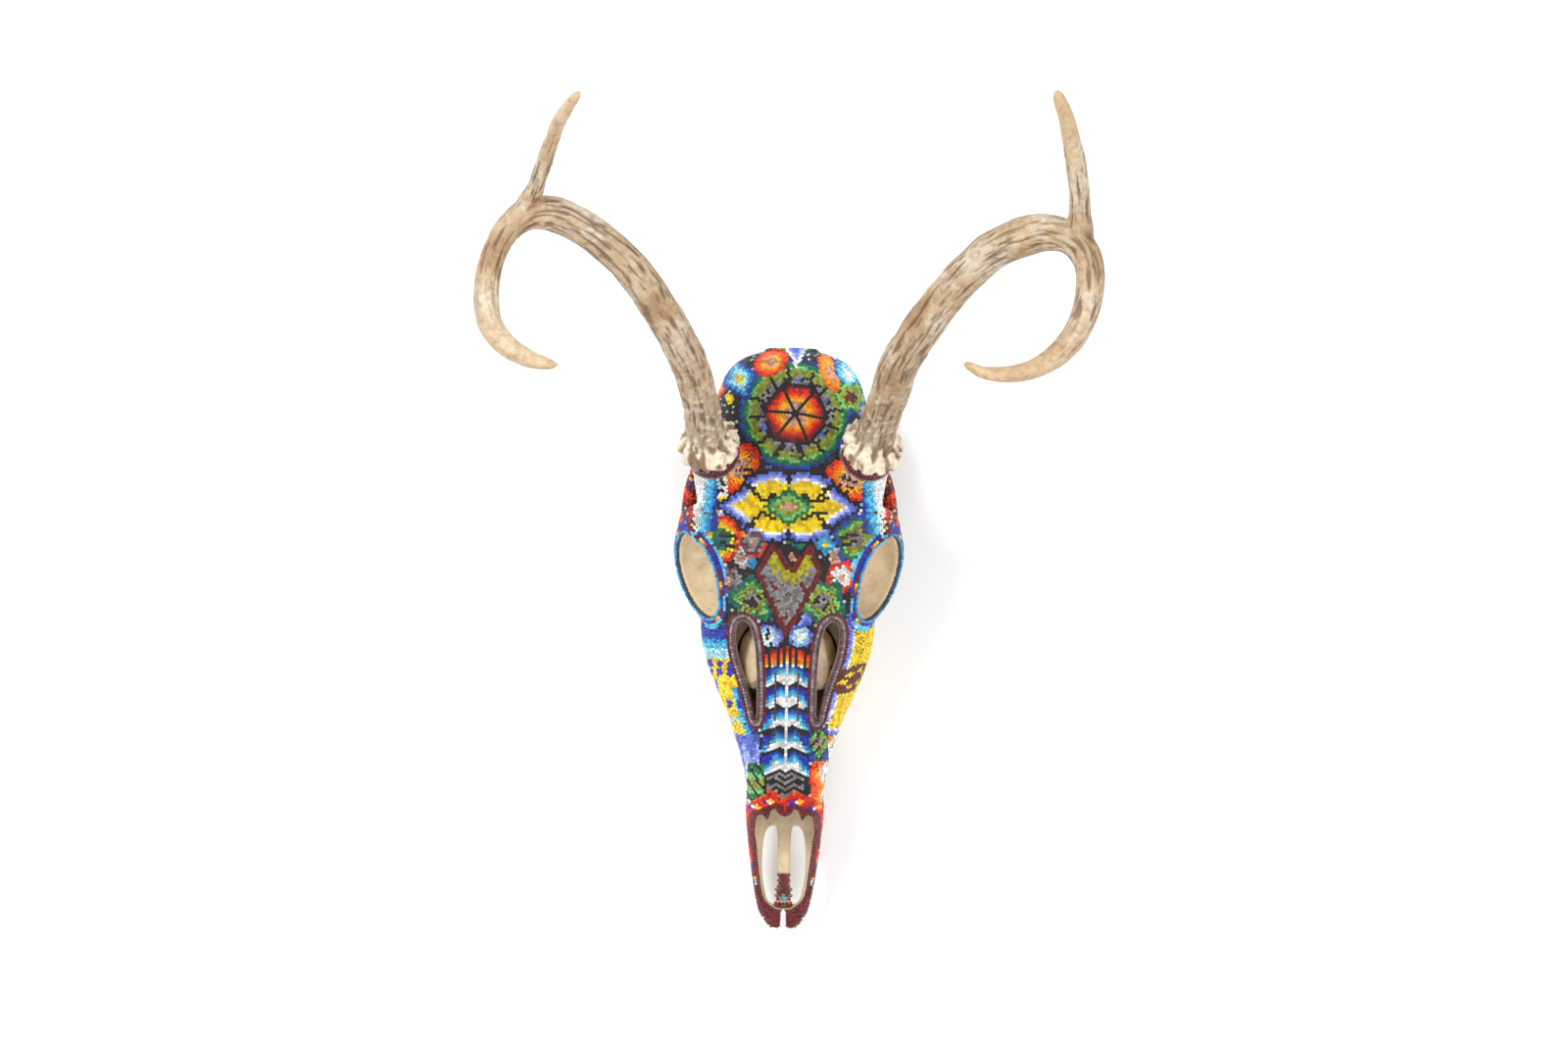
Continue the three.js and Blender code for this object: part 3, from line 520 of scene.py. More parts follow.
BONE_ZONES = [
    ("nasal", True, [[48, 43], [75, 48], [105, 56], [138, 64], [138, 120], [48, 120]],
     [[-1, 45], [11, 45], [12.4, 100], [13, 128], [7, 138], [-1, 140]]),
    ("premaxilla", True, [[-12, -12], [36, -12], [44, 20], [62, 50], [62, 120], [-12, 120]], None),
    ("lacrimal", True, [[130, 53], [153, 47], [160, 62], [158, 92], [147, 92], [131, 70]],
     strip(17, 90, 120, 170)),
    ("zygomatic", True, [[126, 32], [148, 22], [164, 26], [190, 34], [212, 36], [214, 62],
                         [196, 66], [176, 64], [160, 62], [153, 47], [128, 52]],
     strip(27, 90, 120, 216)),
    ("frontal", True, [[128, 67], [147, 74], [158, 62], [196, 66], [214, 62], [224, 76],
                       [224, 96], [250, 99], [262, 130], [128, 130]], None),
    ("temporal", True, [[206, 20], [262, 20], [262, 62], [224, 74], [214, 60], [212, 36]],
     strip(15, 90, 204, 264)),
    ("parietal", False, [[216, 64], [262, 62], [266, 74], [262, 130], [216, 130]], None),
    ("occipital", False, [[234, -12], [310, -12], [310, 130], [262, 130], [266, 74], [262, 40],
                          [234, 40]], None),
    ("sphenoid", False, [[158, 120], [158, 60], [170, 40], [176, -12], [240, -12], [240, 120]], None),
    ("palatine", False, [[146, -12], [146, 34], [180, 34], [180, -12]],
     [[-15, 140], [15, 140], [15, 190], [-15, 190]]),
    ("maxilla", True, [[-20, -20], [320, -20], [320, 140], [-20, 140]], None),
]


def eye_band(points):
    a, b, out = eye_parts(points)
    reach = oval_distance(a, b, EYE_HALF_LENGTH + 6.5, EYE_HALF_HEIGHT + 6)
    return (reach < 0) & (out > -10) & (out < 34)


def stalk_band(points):
    path = np.array([[34, 227, 90, 17.5], [35.8, 231.5, 98.5, 17.5], [38.5, 237, 109, 17.5]])
    return sweep_distance(points, path.tolist(), ACROSS, 20) < 0


COAT_ZONES = [
    ("coat_nose_tip", False, [[-14, -12], [54, -12], [62, 24], [60, 120], [-14, 120]], None),
    ("coat_nose_bridge", False, [[60, 40], [75, 46], [105, 54], [134, 62], [134, 120], [60, 120]],
     [[-1, 55], [11.4, 55], [11.4, 133], [-1, 133]]),
    ("coat_eye_rim", True, eye_band, None),
    ("coat_stalk", True, stalk_band, None),
    ("coat_arch", True, [[203, 34], [238, 34], [238, 56], [224, 66], [203, 66]],
     strip(39.5, 90, 190, 239)),
    ("coat_leaf_rim", True, [[90, 40], [168, 40], [168, 120], [90, 120]],
     [[9, 99], [15, 96.5], [22, 104], [28, 118], [32, 134], [34, 150], [31, 162], [20, 162],
      [9, 146]]),
    ("coat_cheek", True, [[50, -12], [200, -12], [200, 52], [160, 68], [134, 76], [134, 120],
                          [50, 120]], None),
    ("coat_temple", True, [[182, -12], [262, -12], [262, 58], [215, 71], [215, 76], [184, 75]],
     strip(10, 52, 182, 262)),
    ("coat_brow", False, [[90, 40], [214, 40], [214, 130], [90, 130]], None),
    ("coat_crown", False, [[-20, -20], [320, -20], [320, 140], [-20, 140]], None),
]
COAT_LOWER_EDGE = [[-14, 15.5], [60, 17], [90, 21], [160, 24], [178, 32], [196, 40], [236, 38],
                   [258, 42], [274, 52], [310, 56]]


def which_zone(points, zones):
    """Number of the zone that each point lies in."""
    p = np.array(points, float)
    p[:, 0] = np.abs(p[:, 0])
    found = np.full(len(p), len(zones) - 1)
    free = np.ones(len(p), bool)
    for number, (_, _, side, plan) in enumerate(zones):
        if callable(side):
            inside = side(p)
        else:
            inside = polygon_distance(p[:, 1], p[:, 2], side) < 0
        if plan is not None:
            inside &= polygon_distance(p[:, 0], p[:, 1], plan) < 0
        found[free & inside] = number
        free &= ~inside
    return found


# ------------------------------------------------------------------ materials

def linear(colour):
    return tuple((c / 12.92 if c <= 0.04045 else ((c + 0.055) / 1.055) ** 2.4)
                 for c in (v / 255 for v in colour)) + (1.0,)


class Nodes:
    """Short way to build a material's node tree."""

    def __init__(self, name):
        self.material = bpy.data.materials.new(name)
        self.material.use_nodes = True
        self.tree = self.material.node_tree
        self.shader = self.tree.nodes["Principled BSDF"]
        self.coords = self.add("ShaderNodeTexCoord").outputs["Object"]

    def add(self, kind, **inputs):
        node = self.tree.nodes.new(kind)
        for key, value in inputs.items():
            self.feed(node, key, value)
        return node

    def feed(self, node, key, value):
        socket = node.inputs[key if isinstance(key, int) else key.replace("_", " ")]
        if isinstance(value, bpy.types.NodeSocket):
            self.tree.links.new(value, socket)
        else:
            socket.default_value = value

    def noise(self, scale, detail=4.0, rough=0.5, stretch=None, twist=0.0):
        vector = self.coords
        if stretch:
            mapping = self.add("ShaderNodeMapping", Vector=vector)
            mapping.inputs["Scale"].default_value = stretch
            vector = mapping.outputs[0]
        node = self.add("ShaderNodeTexNoise", Vector=vector, Scale=scale, Detail=detail,
                        Roughness=rough, Distortion=twist)
        return node.outputs["Fac"]

    def ramp(self, value, stops):
        node = self.add("ShaderNodeValToRGB", Fac=value)
        ramp = node.color_ramp
        while len(ramp.elements) < len(stops):
            ramp.elements.new(0.5)
        for element, (place, colour) in zip(ramp.elements, stops):
            element.position = place
            element.color = linear(colour) if len(colour) == 3 else colour
        return node.outputs["Color"]

    def mix(self, factor, a, b, kind="MIX"):
        node = self.tree.nodes.new("ShaderNodeMix")
        node.data_type = "RGBA"
        node.blend_type = kind
        for socket, value in ((0, factor), (6, a), (7, b)):
            if isinstance(value, bpy.types.NodeSocket):
                self.tree.links.new(value, node.inputs[socket])
            else:
                node.inputs[socket].default_value = value
        return node.outputs[2]

    def span(self, value, low, high, out_low=0.0, out_high=1.0):
        node = self.add("ShaderNodeMapRange", Value=value)
        for key, number in zip(("From Min", "From Max", "To Min", "To Max"),
                               (low, high, out_low, out_high)):
            node.inputs[key].default_value = number
        return node.outputs[0]

    def attribute(self, name):
        node = self.tree.nodes.new("ShaderNodeAttribute")
        node.attribute_name = name
        return node.outputs["Fac"]

    def bump(self, height, distance, strength=1.0, normal=None):
        node = self.add("ShaderNodeBump", Height=height, Strength=strength, Distance=distance)
        if normal is not None:
            self.tree.links.new(normal, node.inputs["Normal"])
        return node.outputs[0]

    def finish(self, **sockets):
        for key, value in sockets.items():
            self.feed(self.shader, key, value)
        return self.material


def bone_material():
    m = Nodes("dry_bone")
    broad = m.noise(28, 3, 0.55)
    fine = m.noise(160, 5, 0.6)
    stain = m.noise(55, 5, 0.65, twist=0.6)
    base = m.ramp(broad, [(0.3, (206, 182, 146)), (0.5, (224, 204, 170)), (0.72, (236, 222, 194))])
    base = m.mix(m.span(stain, 0.5, 0.7, 0, 0.6), base, linear((158, 130, 98)))
    pits = m.noise(95, 4, 0.6, twist=1.2)
    base = m.mix(m.span(pits, 0.66, 0.74, 0, 0.75), base, linear((70, 50, 34)))
    base = m.mix(m.span(fine, 0.35, 0.62, 0.22, 0), base, linear((150, 118, 84)))
    # Painted shade: the bone turns dark brown deeper in the hollows, by the "deep" attribute
    base = m.mix(m.attribute("deep"), base, linear((88, 68, 48)))
    pores = m.noise(900, 3, 0.5)
    height = m.bump(pores, 0.0003, 0.35, m.bump(fine, 0.0009, 0.5))
    return m.finish(Base_Color=base, Roughness=m.span(fine, 0.3, 0.7, 0.5, 0.72), Normal=height,
                    IOR=1.45)


def wax_material():
    m = Nodes("bees_wax")
    mottle = m.noise(240, 4, 0.55)
    base = m.ramp(mottle, [(0.3, (52, 36, 24)), (0.55, (76, 54, 34)), (0.8, (100, 74, 46))])
    return m.finish(Base_Color=base, Roughness=m.span(mottle, 0.3, 0.7, 0.42, 0.6),
                    Normal=m.bump(m.noise(700, 3, 0.5), 0.0003, 0.6))


BONE_LOOK = bone_material()
WAX_LOOK = wax_material()

# ------------------------------------------------------------------ pieces


def place(points):
    """Millimetres from the nose tip to metres in the row frame."""
    out = np.array(points, float)
    out[:, 1] -= ORIGIN_BACK
    return out * MM


def new_piece(name, points, faces, looks, nodes=(), numbers=None, normals=None,
              facts=None):
    """A piece of the object from its points in millimetres and its faces."""
    mesh = bpy.data.meshes.new(name)
    faces = np.asarray(faces)
    count, sides = faces.shape
    mesh.vertices.add(len(points))
    mesh.vertices.foreach_set("co", place(points).astype(np.float32).ravel())
    mesh.loops.add(count * sides)
    mesh.loops.foreach_set("vertex_index", faces.ravel().astype(np.int32))
    mesh.polygons.add(count)
    mesh.polygons.foreach_set("loop_start", np.arange(0, count * sides, sides, dtype=np.int32))
    mesh.polygons.foreach_set("use_smooth", np.ones(count, bool))
    for look in looks:
        mesh.materials.append(look)
    if numbers is not None:
        mesh.polygons.foreach_set("material_index", np.asarray(numbers, np.int32))
    for key, values in (facts or {}).items():
        layer = mesh.attributes.new(key, "FLOAT", "POINT")
        layer.data.foreach_set("value", np.asarray(values, np.float32))
    mesh.update(calc_edges=True)
    if normals is not None:
        mesh.normals_split_custom_set_from_vertices(normals)
    piece = bpy.data.objects.new(name, mesh)
    bpy.context.scene.collection.objects.link(piece)
    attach(piece, "root")
    if nodes:
        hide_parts(*nodes)
    return piece


def part_of(faces, chosen):
    """Which points the chosen faces use, and the faces in the numbers of those points."""
    kept = faces[chosen]
    used, again = np.unique(kept, return_inverse=True)
    return used, again.reshape(kept.shape)


head_full, holes_full, bone_full = whole(head), whole(holes), whole(bone)
bone_points, bone_faces = surface_net(bone_full, start, STEP)
bone_points = onto(bone_full, bone_points, 0.0, 1)
bone_normals, _ = slope(bone_full, bone_points, 0.8)
# How deep a point lies in a hollow, where the bone is painted darker as painted shade
depth = np.clip(sample(head_full, bone_points) / -22.0, 0, 1)
deep = np.clip(depth * 0.9 - 0.12, 0, 0.75)
centres = bone_points[bone_faces].mean(1)
zone_of = which_zone(centres, BONE_ZONES)
for number, (name, paired, _, _) in enumerate(BONE_ZONES):
    for side, chosen in (("right", centres[:, 0] >= 0), ("left", centres[:, 0] < 0)):
        if not paired:
            if side == "left":
                continue
            chosen = np.ones(len(centres), bool)
        label = f"{name}_{side}" if paired else name
        used, faces = part_of(bone_faces, chosen & (zone_of == number))
        new_piece(f"bone_{label}", bone_points[used], faces, [BONE_LOOK], [label],
                  normals=bone_normals[used], facts={"deep": deep[used]})

# ------------------------------------------------------------------ teeth and inner bones


def tooth_material():
    m = Nodes("tooth_enamel")
    wear = m.noise(300, 4, 0.55)
    streak = m.noise(420, 3, 0.5, stretch=(1, 1, 0.25))
    base = m.ramp(wear, [(0.3, (190, 170, 132)), (0.55, (226, 214, 184)), (0.75, (240, 234, 214))])
    base = m.mix(m.span(streak, 0.55, 0.7, 0, 0.5), base, linear((118, 84, 50)))
    return m.finish(Base_Color=base, Roughness=m.span(wear, 0.3, 0.7, 0.25, 0.42),
                    Normal=m.bump(streak, 0.0004, 0.5))


TOOTH_LOOK = tooth_material()
SOFT_BONES = ("bulla", "nasal_scroll", "nasal_septum")
for node_name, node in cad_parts.items():
    if node_name.startswith(("premolar", "molar")):
        look = TOOTH_LOOK
    elif node_name.startswith(SOFT_BONES):
        look = BONE_LOOK
    else:
        continue
    for material_slot in node.material_slots:
        material_slot.material = look

# ------------------------------------------------------------------ antlers


def value_noise(points, size, seed):
    """Smooth noise from 0 to 1 with features of the given size."""
    table = np.random.default_rng(seed).random((32, 32, 32))
    p = np.asarray(points, float) / size
    i = np.floor(p).astype(int)
    f = p - i
    f = f * f * (3 - 2 * f)
    value = 0
    for a in (0, 1):
        for b in (0, 1):
            for c in (0, 1):
                weight = (np.abs(1 - a - f[:, 0]) * np.abs(1 - b - f[:, 1])
                          * np.abs(1 - c - f[:, 2]))
                value = value + weight * table[(i[:, 0] + a) % 32, (i[:, 1] + b) % 32,
                                               (i[:, 2] + c) % 32]
    return value


BURR = [[37.7, 235.5, 105.7, 10.5], [38.2, 236.5, 107.6, 13.2], [39, 238.2, 111, 13.2],
        [40, 240.2, 115, 10.2]]
RIGHT_BEAM = [
    [38.6, 237.4, 109.5, 9.6], [41.8, 250.5, 126, 9], [45, 259.4, 138, 9],
    [49.7, 274.8, 153, 9.1], [57.2, 288, 167, 9], [68, 302.9, 181, 8.8],
    [78.9, 315.7, 192, 8.9], [90.6, 325.3, 202, 8.9], [101.9, 330.2, 209, 8.9],
    [113, 332.3, 213, 8.5], [122.9, 329.6, 216, 7.4], [129.3, 322.1, 219, 6.8],
    [131.7, 310.9, 223, 6.4], [129.9, 298.1, 227, 6.2], [125, 286.5, 231, 5.9],
    [117.5, 277.6, 234, 5.4], [107.5, 270.9, 237, 4.6], [95, 267.6, 239, 3.8],
    [83.7, 268.2, 240, 2.8], [77.2, 271.1, 240, 1.9], [75.5, 272, 240, 0.9],
]
RIGHT_TINE = [
    [126.8, 329.6, 216, 5.7], [126.2, 341.9, 226, 5], [124.4, 353.5, 236, 4.8],
    [121.3, 365.8, 246, 4.4], [117.3, 378.8, 256, 3.6], [114.2, 384.9, 262, 3],
    [112.6, 387.8, 266, 2.1], [112.1, 389, 267, 0.8],
]
LEFT_BEAM = [
    [-38.6, 237.4, 109.5, 9.4], [-41.2, 249.2, 127, 8.7], [-42.3, 255.8, 136, 8.5],
    [-46.5, 271.5, 152, 8.6], [-53.8, 286.3, 167, 8.6], [-63, 300.9, 180, 8.5],
    [-72.6, 313.9, 190, 8.3], [-84.7, 325, 199, 8.2], [-97.6, 333.4, 207, 8.1],
    [-110.1, 337.6, 212, 7.9], [-121.6, 334.9, 216, 6.8], [-129.9, 325.3, 220, 6],
    [-134.6, 312.3, 224, 5.6], [-135.7, 298.6, 229, 5.7], [-133.5, 286.7, 233, 5.6],
    [-126.2, 277.2, 236, 5.1], [-116, 271.2, 238, 4], [-108.1, 269.1, 240, 2.8],
    [-104.7, 268.7, 240, 1.9], [-103.4, 268.7, 240, 0.9],
]
LEFT_TINE = [
    [-119.2, 338.2, 214, 5.2], [-115.2, 347.5, 223, 4.3], [-111.8, 355.5, 231, 4],
    [-107.9, 364.6, 240, 3.7], [-104.1, 373.1, 249, 3.3], [-98.9, 380.3, 258, 2.7],
    [-95.3, 384.1, 263, 1.9], [-94, 385.6, 265, 0.8],
]
ANTLER_STEP = 0.62


def tube_frames(stations, count):
    centre, ahead, radius, _, length = smooth_path(stations, count)
    side = np.zeros_like(centre)
    side[0] = unit(np.cross(ahead[0], [0, 1, 0]))
    for i in range(1, count):
        s = side[i - 1] - ahead[i] * (side[i - 1] @ ahead[i])
        side[i] = unit(s)
    return centre, ahead, side, np.cross(ahead, side), radius, length


def rings(centre, side, over, radius):
    """Points of rings around a path, with a radius for each point."""
    angle = np.arange(radius.shape[1]) * 2 * math.pi / radius.shape[1]
    ring = (np.cos(angle)[None, :, None] * side[:, None] + np.sin(angle)[None, :, None]
            * over[:, None])
    return (centre[:, None] + ring * radius[..., None]).reshape(-1, 3)


def tube_faces(count, around):
    """Faces between rings, and round the two middle points that close the ends."""
    faces = []
    for i in range(count - 1):
        for j in range(around):
            k = (j + 1) % around
            faces.append((i * around + j, i * around + k, (i + 1) * around + k,
                          (i + 1) * around + j))
    first = count * around
    for j in range(around):
        k = (j + 1) % around
        faces.append((first, k, j))
        faces.append((first + 1, (count - 1) * around + j, (count - 1) * around + k))
    return faces


def tube(stations, count, around=40):
    centre, ahead, side, over, radius, length = tube_frames(stations, count)
    points = rings(centre, side, over, np.repeat(radius[:, None], around, axis=1))
    tip = centre[-1] + ahead[-1] * radius[-1] * 1.1
    return np.vstack([points, centre[0], tip]), tube_faces(count, around)


def burr_ring(sign):
    """The knobbly crown at the foot of an antler."""
    stations = [[sign * row[0], *row[1:]] for row in BURR]
    count, around = 26, 132
    centre, ahead, side, over, radius, length = tube_frames(stations, count)
    angle = np.arange(around) * 2 * math.pi / around
    along = np.linspace(0, 1, count)
    wander = angle[None, :] + 0.16 * np.sin(along[:, None] * 5 + angle[None, :] * 3 + sign)
    knobs = (2.5 * np.abs(np.sin(wander * 6.5 + 0.9 * np.sin(wander * 2 + sign))) ** 0.8
             + 0.6 * np.sin(wander * 17 + 1.3) - 1.1)
    swell = np.sin(math.pi * along) ** 0.5
    points = rings(centre, side, over, radius[:, None] + knobs * swell[:, None])
    return np.vstack([points, centre[0], centre[-1]]), tube_faces(count, around)


def fused(name, shells, step, rounds):
    """One skin around several shells, smoothed, as points in mm and triangles or quads."""
    points, faces = [], []
    for shell_points, shell_faces in shells:
        base = len(points)
        points += [tuple(p) for p in shell_points]
        faces += [tuple(i + base for i in face) for face in shell_faces]
    mesh = bpy.data.meshes.new(name)
    mesh.from_pydata(points, [], faces)
    helper = bpy.data.objects.new(name, mesh)
    bpy.context.scene.collection.objects.link(helper)
    remesh = helper.modifiers.new("remesh", "REMESH")
    remesh.mode = "VOXEL"
    remesh.voxel_size = step
    smooth = helper.modifiers.new("smooth", "SMOOTH")
    smooth.factor = 0.5
    smooth.iterations = rounds
    graph = bpy.context.evaluated_depsgraph_get()
    made = bpy.data.meshes.new_from_object(helper.evaluated_get(graph))
    out = np.zeros(len(made.vertices) * 3, np.float32)
    made.vertices.foreach_get("co", out)
    normal = np.zeros(len(made.vertices) * 3, np.float32)
    made.vertices.foreach_get("normal", normal)
    quads = np.zeros(len(made.loops), np.int32)
    made.loops.foreach_get("vertex_index", quads)
    sides = len(made.loops) // len(made.polygons)
    bpy.data.objects.remove(helper)
    bpy.data.meshes.remove(mesh)
    bpy.data.meshes.remove(made)
    return (out.reshape(-1, 3).astype(float), normal.reshape(-1, 3).astype(float),
            quads.reshape(-1, sides))


def near_path(points, stations, count=150):
    """Place along a path, angle around it, and distance from its middle, for each point."""
    centre, ahead, side, over, radius, length = tube_frames(stations, count)
    tree = kdtree.KDTree(count)
    for i, c in enumerate(centre):
        tree.insert(c, i)
    tree.balance()
    nearest = np.array([tree.find(p)[1] for p in points])
    off = points - centre[nearest]
    a, b = (off * side[nearest]).sum(1), (off * over[nearest]).sum(1)
    along = (nearest + 0.0) * length / (count - 1) + (off * ahead[nearest]).sum(1)
    return along, np.arctan2(b, a), np.linalg.norm(off, axis=1), radius[nearest], length


def antler_material():
    m = Nodes("antler")
    groove, knob, tip, base_and_fork_darkening = (m.attribute(k) for k in ("groove", "knob", "tip", "base_and_fork_darkening"))
    broad = m.noise(34, 4, 0.6, twist=0.5)
    fine = m.noise(330, 5, 0.62)
    base = m.ramp(broad, [(0.36, (160, 128, 92)), (0.5, (186, 162, 130)), (0.62, (202, 188, 166))])
    base = m.mix(groove, base, linear((98, 64, 38)))
    base = m.mix(knob, base, linear((228, 212, 184)))
    # Darker brown in the burr's recesses, on the foot between the pearls and round the fork
    base = m.mix(base_and_fork_darkening, base, linear((90, 56, 34)))
    base = m.mix(tip, base, linear((202, 174, 134)))
    base = m.mix(m.span(fine, 0.36, 0.55, 0.4, 0), base, linear((110, 78, 50)))
    return m.finish(Base_Color=base, Roughness=m.span(fine, 0.3, 0.7, 0.42, 0.62),
                    Normal=m.bump(fine, 0.0006, 0.45))


ANTLER_LOOK = antler_material()


def make_antler(side_name, sign, beam, tine, seed):
    web = [[*(np.array(tine[0][:3]) * (1 - t) + np.array(tine[1][:3]) * t),
            tine[0][3] * (1 - t) + tine[1][3] * t + 0.9 * (1 - t)] for t in (0.0, 0.35, 0.7)]
    shells = [tube(beam, 220), tube(tine, 110), tube(web, 20), burr_ring(sign)]
    points, normals, faces = fused("antler_helper", shells, ANTLER_STEP, 4)
    a_beam, t_beam, d_beam, r_beam, l_beam = near_path(points, beam, 260)
    a_tine, t_tine, d_tine, r_tine, l_tine = near_path(points, tine, 120)
    on_tine = np.clip(0.5 + (d_beam - r_beam - d_tine + r_tine) / 5, 0, 1)
    flow = []
    for along, around, radius in ((a_beam, t_beam, r_beam), (a_tine, t_tine, r_tine)):
        ring = np.stack([np.cos(around) * radius / 1.15, np.sin(around) * radius / 1.15,
                         along / 8.5 + 0.4 * np.sin(around * 2)], -1)
        flow.append(0.62 * value_noise(ring, 1.0, seed) + 0.38 * value_noise(ring, 0.47, seed + 1))
    furrow = flow[0] * (1 - on_tine) + flow[1] * on_tine
    left = np.minimum(np.where(on_tine > 0.5, 1e3, (l_beam - a_beam) / 62),
                      np.where(on_tine > 0.5, (l_tine - a_tine) / 40, 1e3))
    bare = np.clip(1.15 - left, 0, 1)
    depth = np.clip((0.5 - furrow) / 0.2, 0, 1)
    foot = np.clip(1 - (a_beam - 6) / 95, 0, 1) * (1 - on_tine)
    pearl = np.clip((value_noise(points, 2.6, seed + 2) - 0.56) / 0.3, 0, 1) * foot
    lumps = value_noise(points, 9.0, seed + 3) - 0.5
    on_burr = np.clip((12 - a_beam) / 4, 0, 1)
    rough = (1 - bare) * (1 - 0.7 * on_burr)
    points = points + normals * (-0.75 * depth * rough + 0.95 * pearl * (1 - 0.5 * on_burr)
                                 + 0.9 * lumps * rough)[:, None]
    wrinkle = value_noise(np.stack([t_beam * 5.5 + 40, a_beam / 7 + 9, d_beam / 4], -1), 1.0, seed + 5)
    ridge = np.clip((wrinkle - 0.46) / 0.12, 0, 1)
    points = points + normals * (1.1 * (ridge - 0.5) * on_burr)[:, None]
    knob = np.clip(pearl * 0.8 + on_burr * ridge, 0, 1)
    # Darker in the burr's recesses, on the beam's foot away from the pearls, and round the fork
    base_and_fork_darkening = np.clip(on_burr * (1 - ridge) * 0.62 + foot * 0.3 * (1 - pearl) * (1 - on_burr), 0, 0.8)
    fork = np.array(tine[0][:3])
    base_and_fork_darkening = np.maximum(base_and_fork_darkening, np.clip(1 - np.linalg.norm(points - fork, axis=1) / 12, 0, 1) * 0.35
                       * value_noise(points, 3.0, seed + 4))
    new_piece(f"antler_{side_name}_skin", points, faces, [ANTLER_LOOK], [f"antler_{side_name}"],
              facts={"groove": depth * rough * 0.85, "knob": knob,
                               "tip": bare * 0.7, "base_and_fork_darkening": base_and_fork_darkening})


make_antler("right", 1, RIGHT_BEAM, RIGHT_TINE, 11)
make_antler("left", -1, LEFT_BEAM, LEFT_TINE, 23)

# ------------------------------------------------------------------ laying of the beads

ROW = PITCH * math.sqrt(3) / 2  # from one row of beads to the next
CLOSEST = 0.82 * PITCH
CELL = CLOSEST / math.sqrt(3)
MOST = 40000
EDGE_GAP = 0.62  # from a bead's middle to an opening
LOWER_GAP = 0.9  # from a bead's middle to the coat's lower edge
BURR_GAP = 1.3  # clear of the burr along the stalk
BURR_REACH = 17.0  # how far out from the stalk the burr is minded
PUSH = 0.32  # share of an overlap taken up in one round
ROW_HOLD = 0.35  # how much a bead in a laid row follows such a push
LINK_REACH = 1.25 * PITCH  # beads further apart than this don't pull each other
inner_full = whole(inner)
BURR_FOOT = np.array(BURR[0][:3])
BURR_AXIS = unit(np.array(BURR[3][:3]) - BURR_FOOT)


def on_coat(points, edge=EDGE_GAP):
    """Whether the middle of a bead may lie there: off the openings, above the coat's lower edge."""
    p = np.array(points, float)
    ok = sample(holes_full, p) > edge
    ok &= sample(inner_full, p) > edge
    lower = np.interp(p[:, 1], *np.array(COAT_LOWER_EDGE).T)
    ok &= (p[:, 2] > lower + LOWER_GAP) & (np.abs(p[:, 0]) < full_x[-1] - 2)
    p[:, 0] = np.abs(p[:, 0])
    off = p - BURR_FOOT
    rise = off @ BURR_AXIS
    across = np.linalg.norm(off - rise[:, None] * BURR_AXIS, axis=1)
    return ok & ((rise < -BURR_GAP) | (across > BURR_REACH))


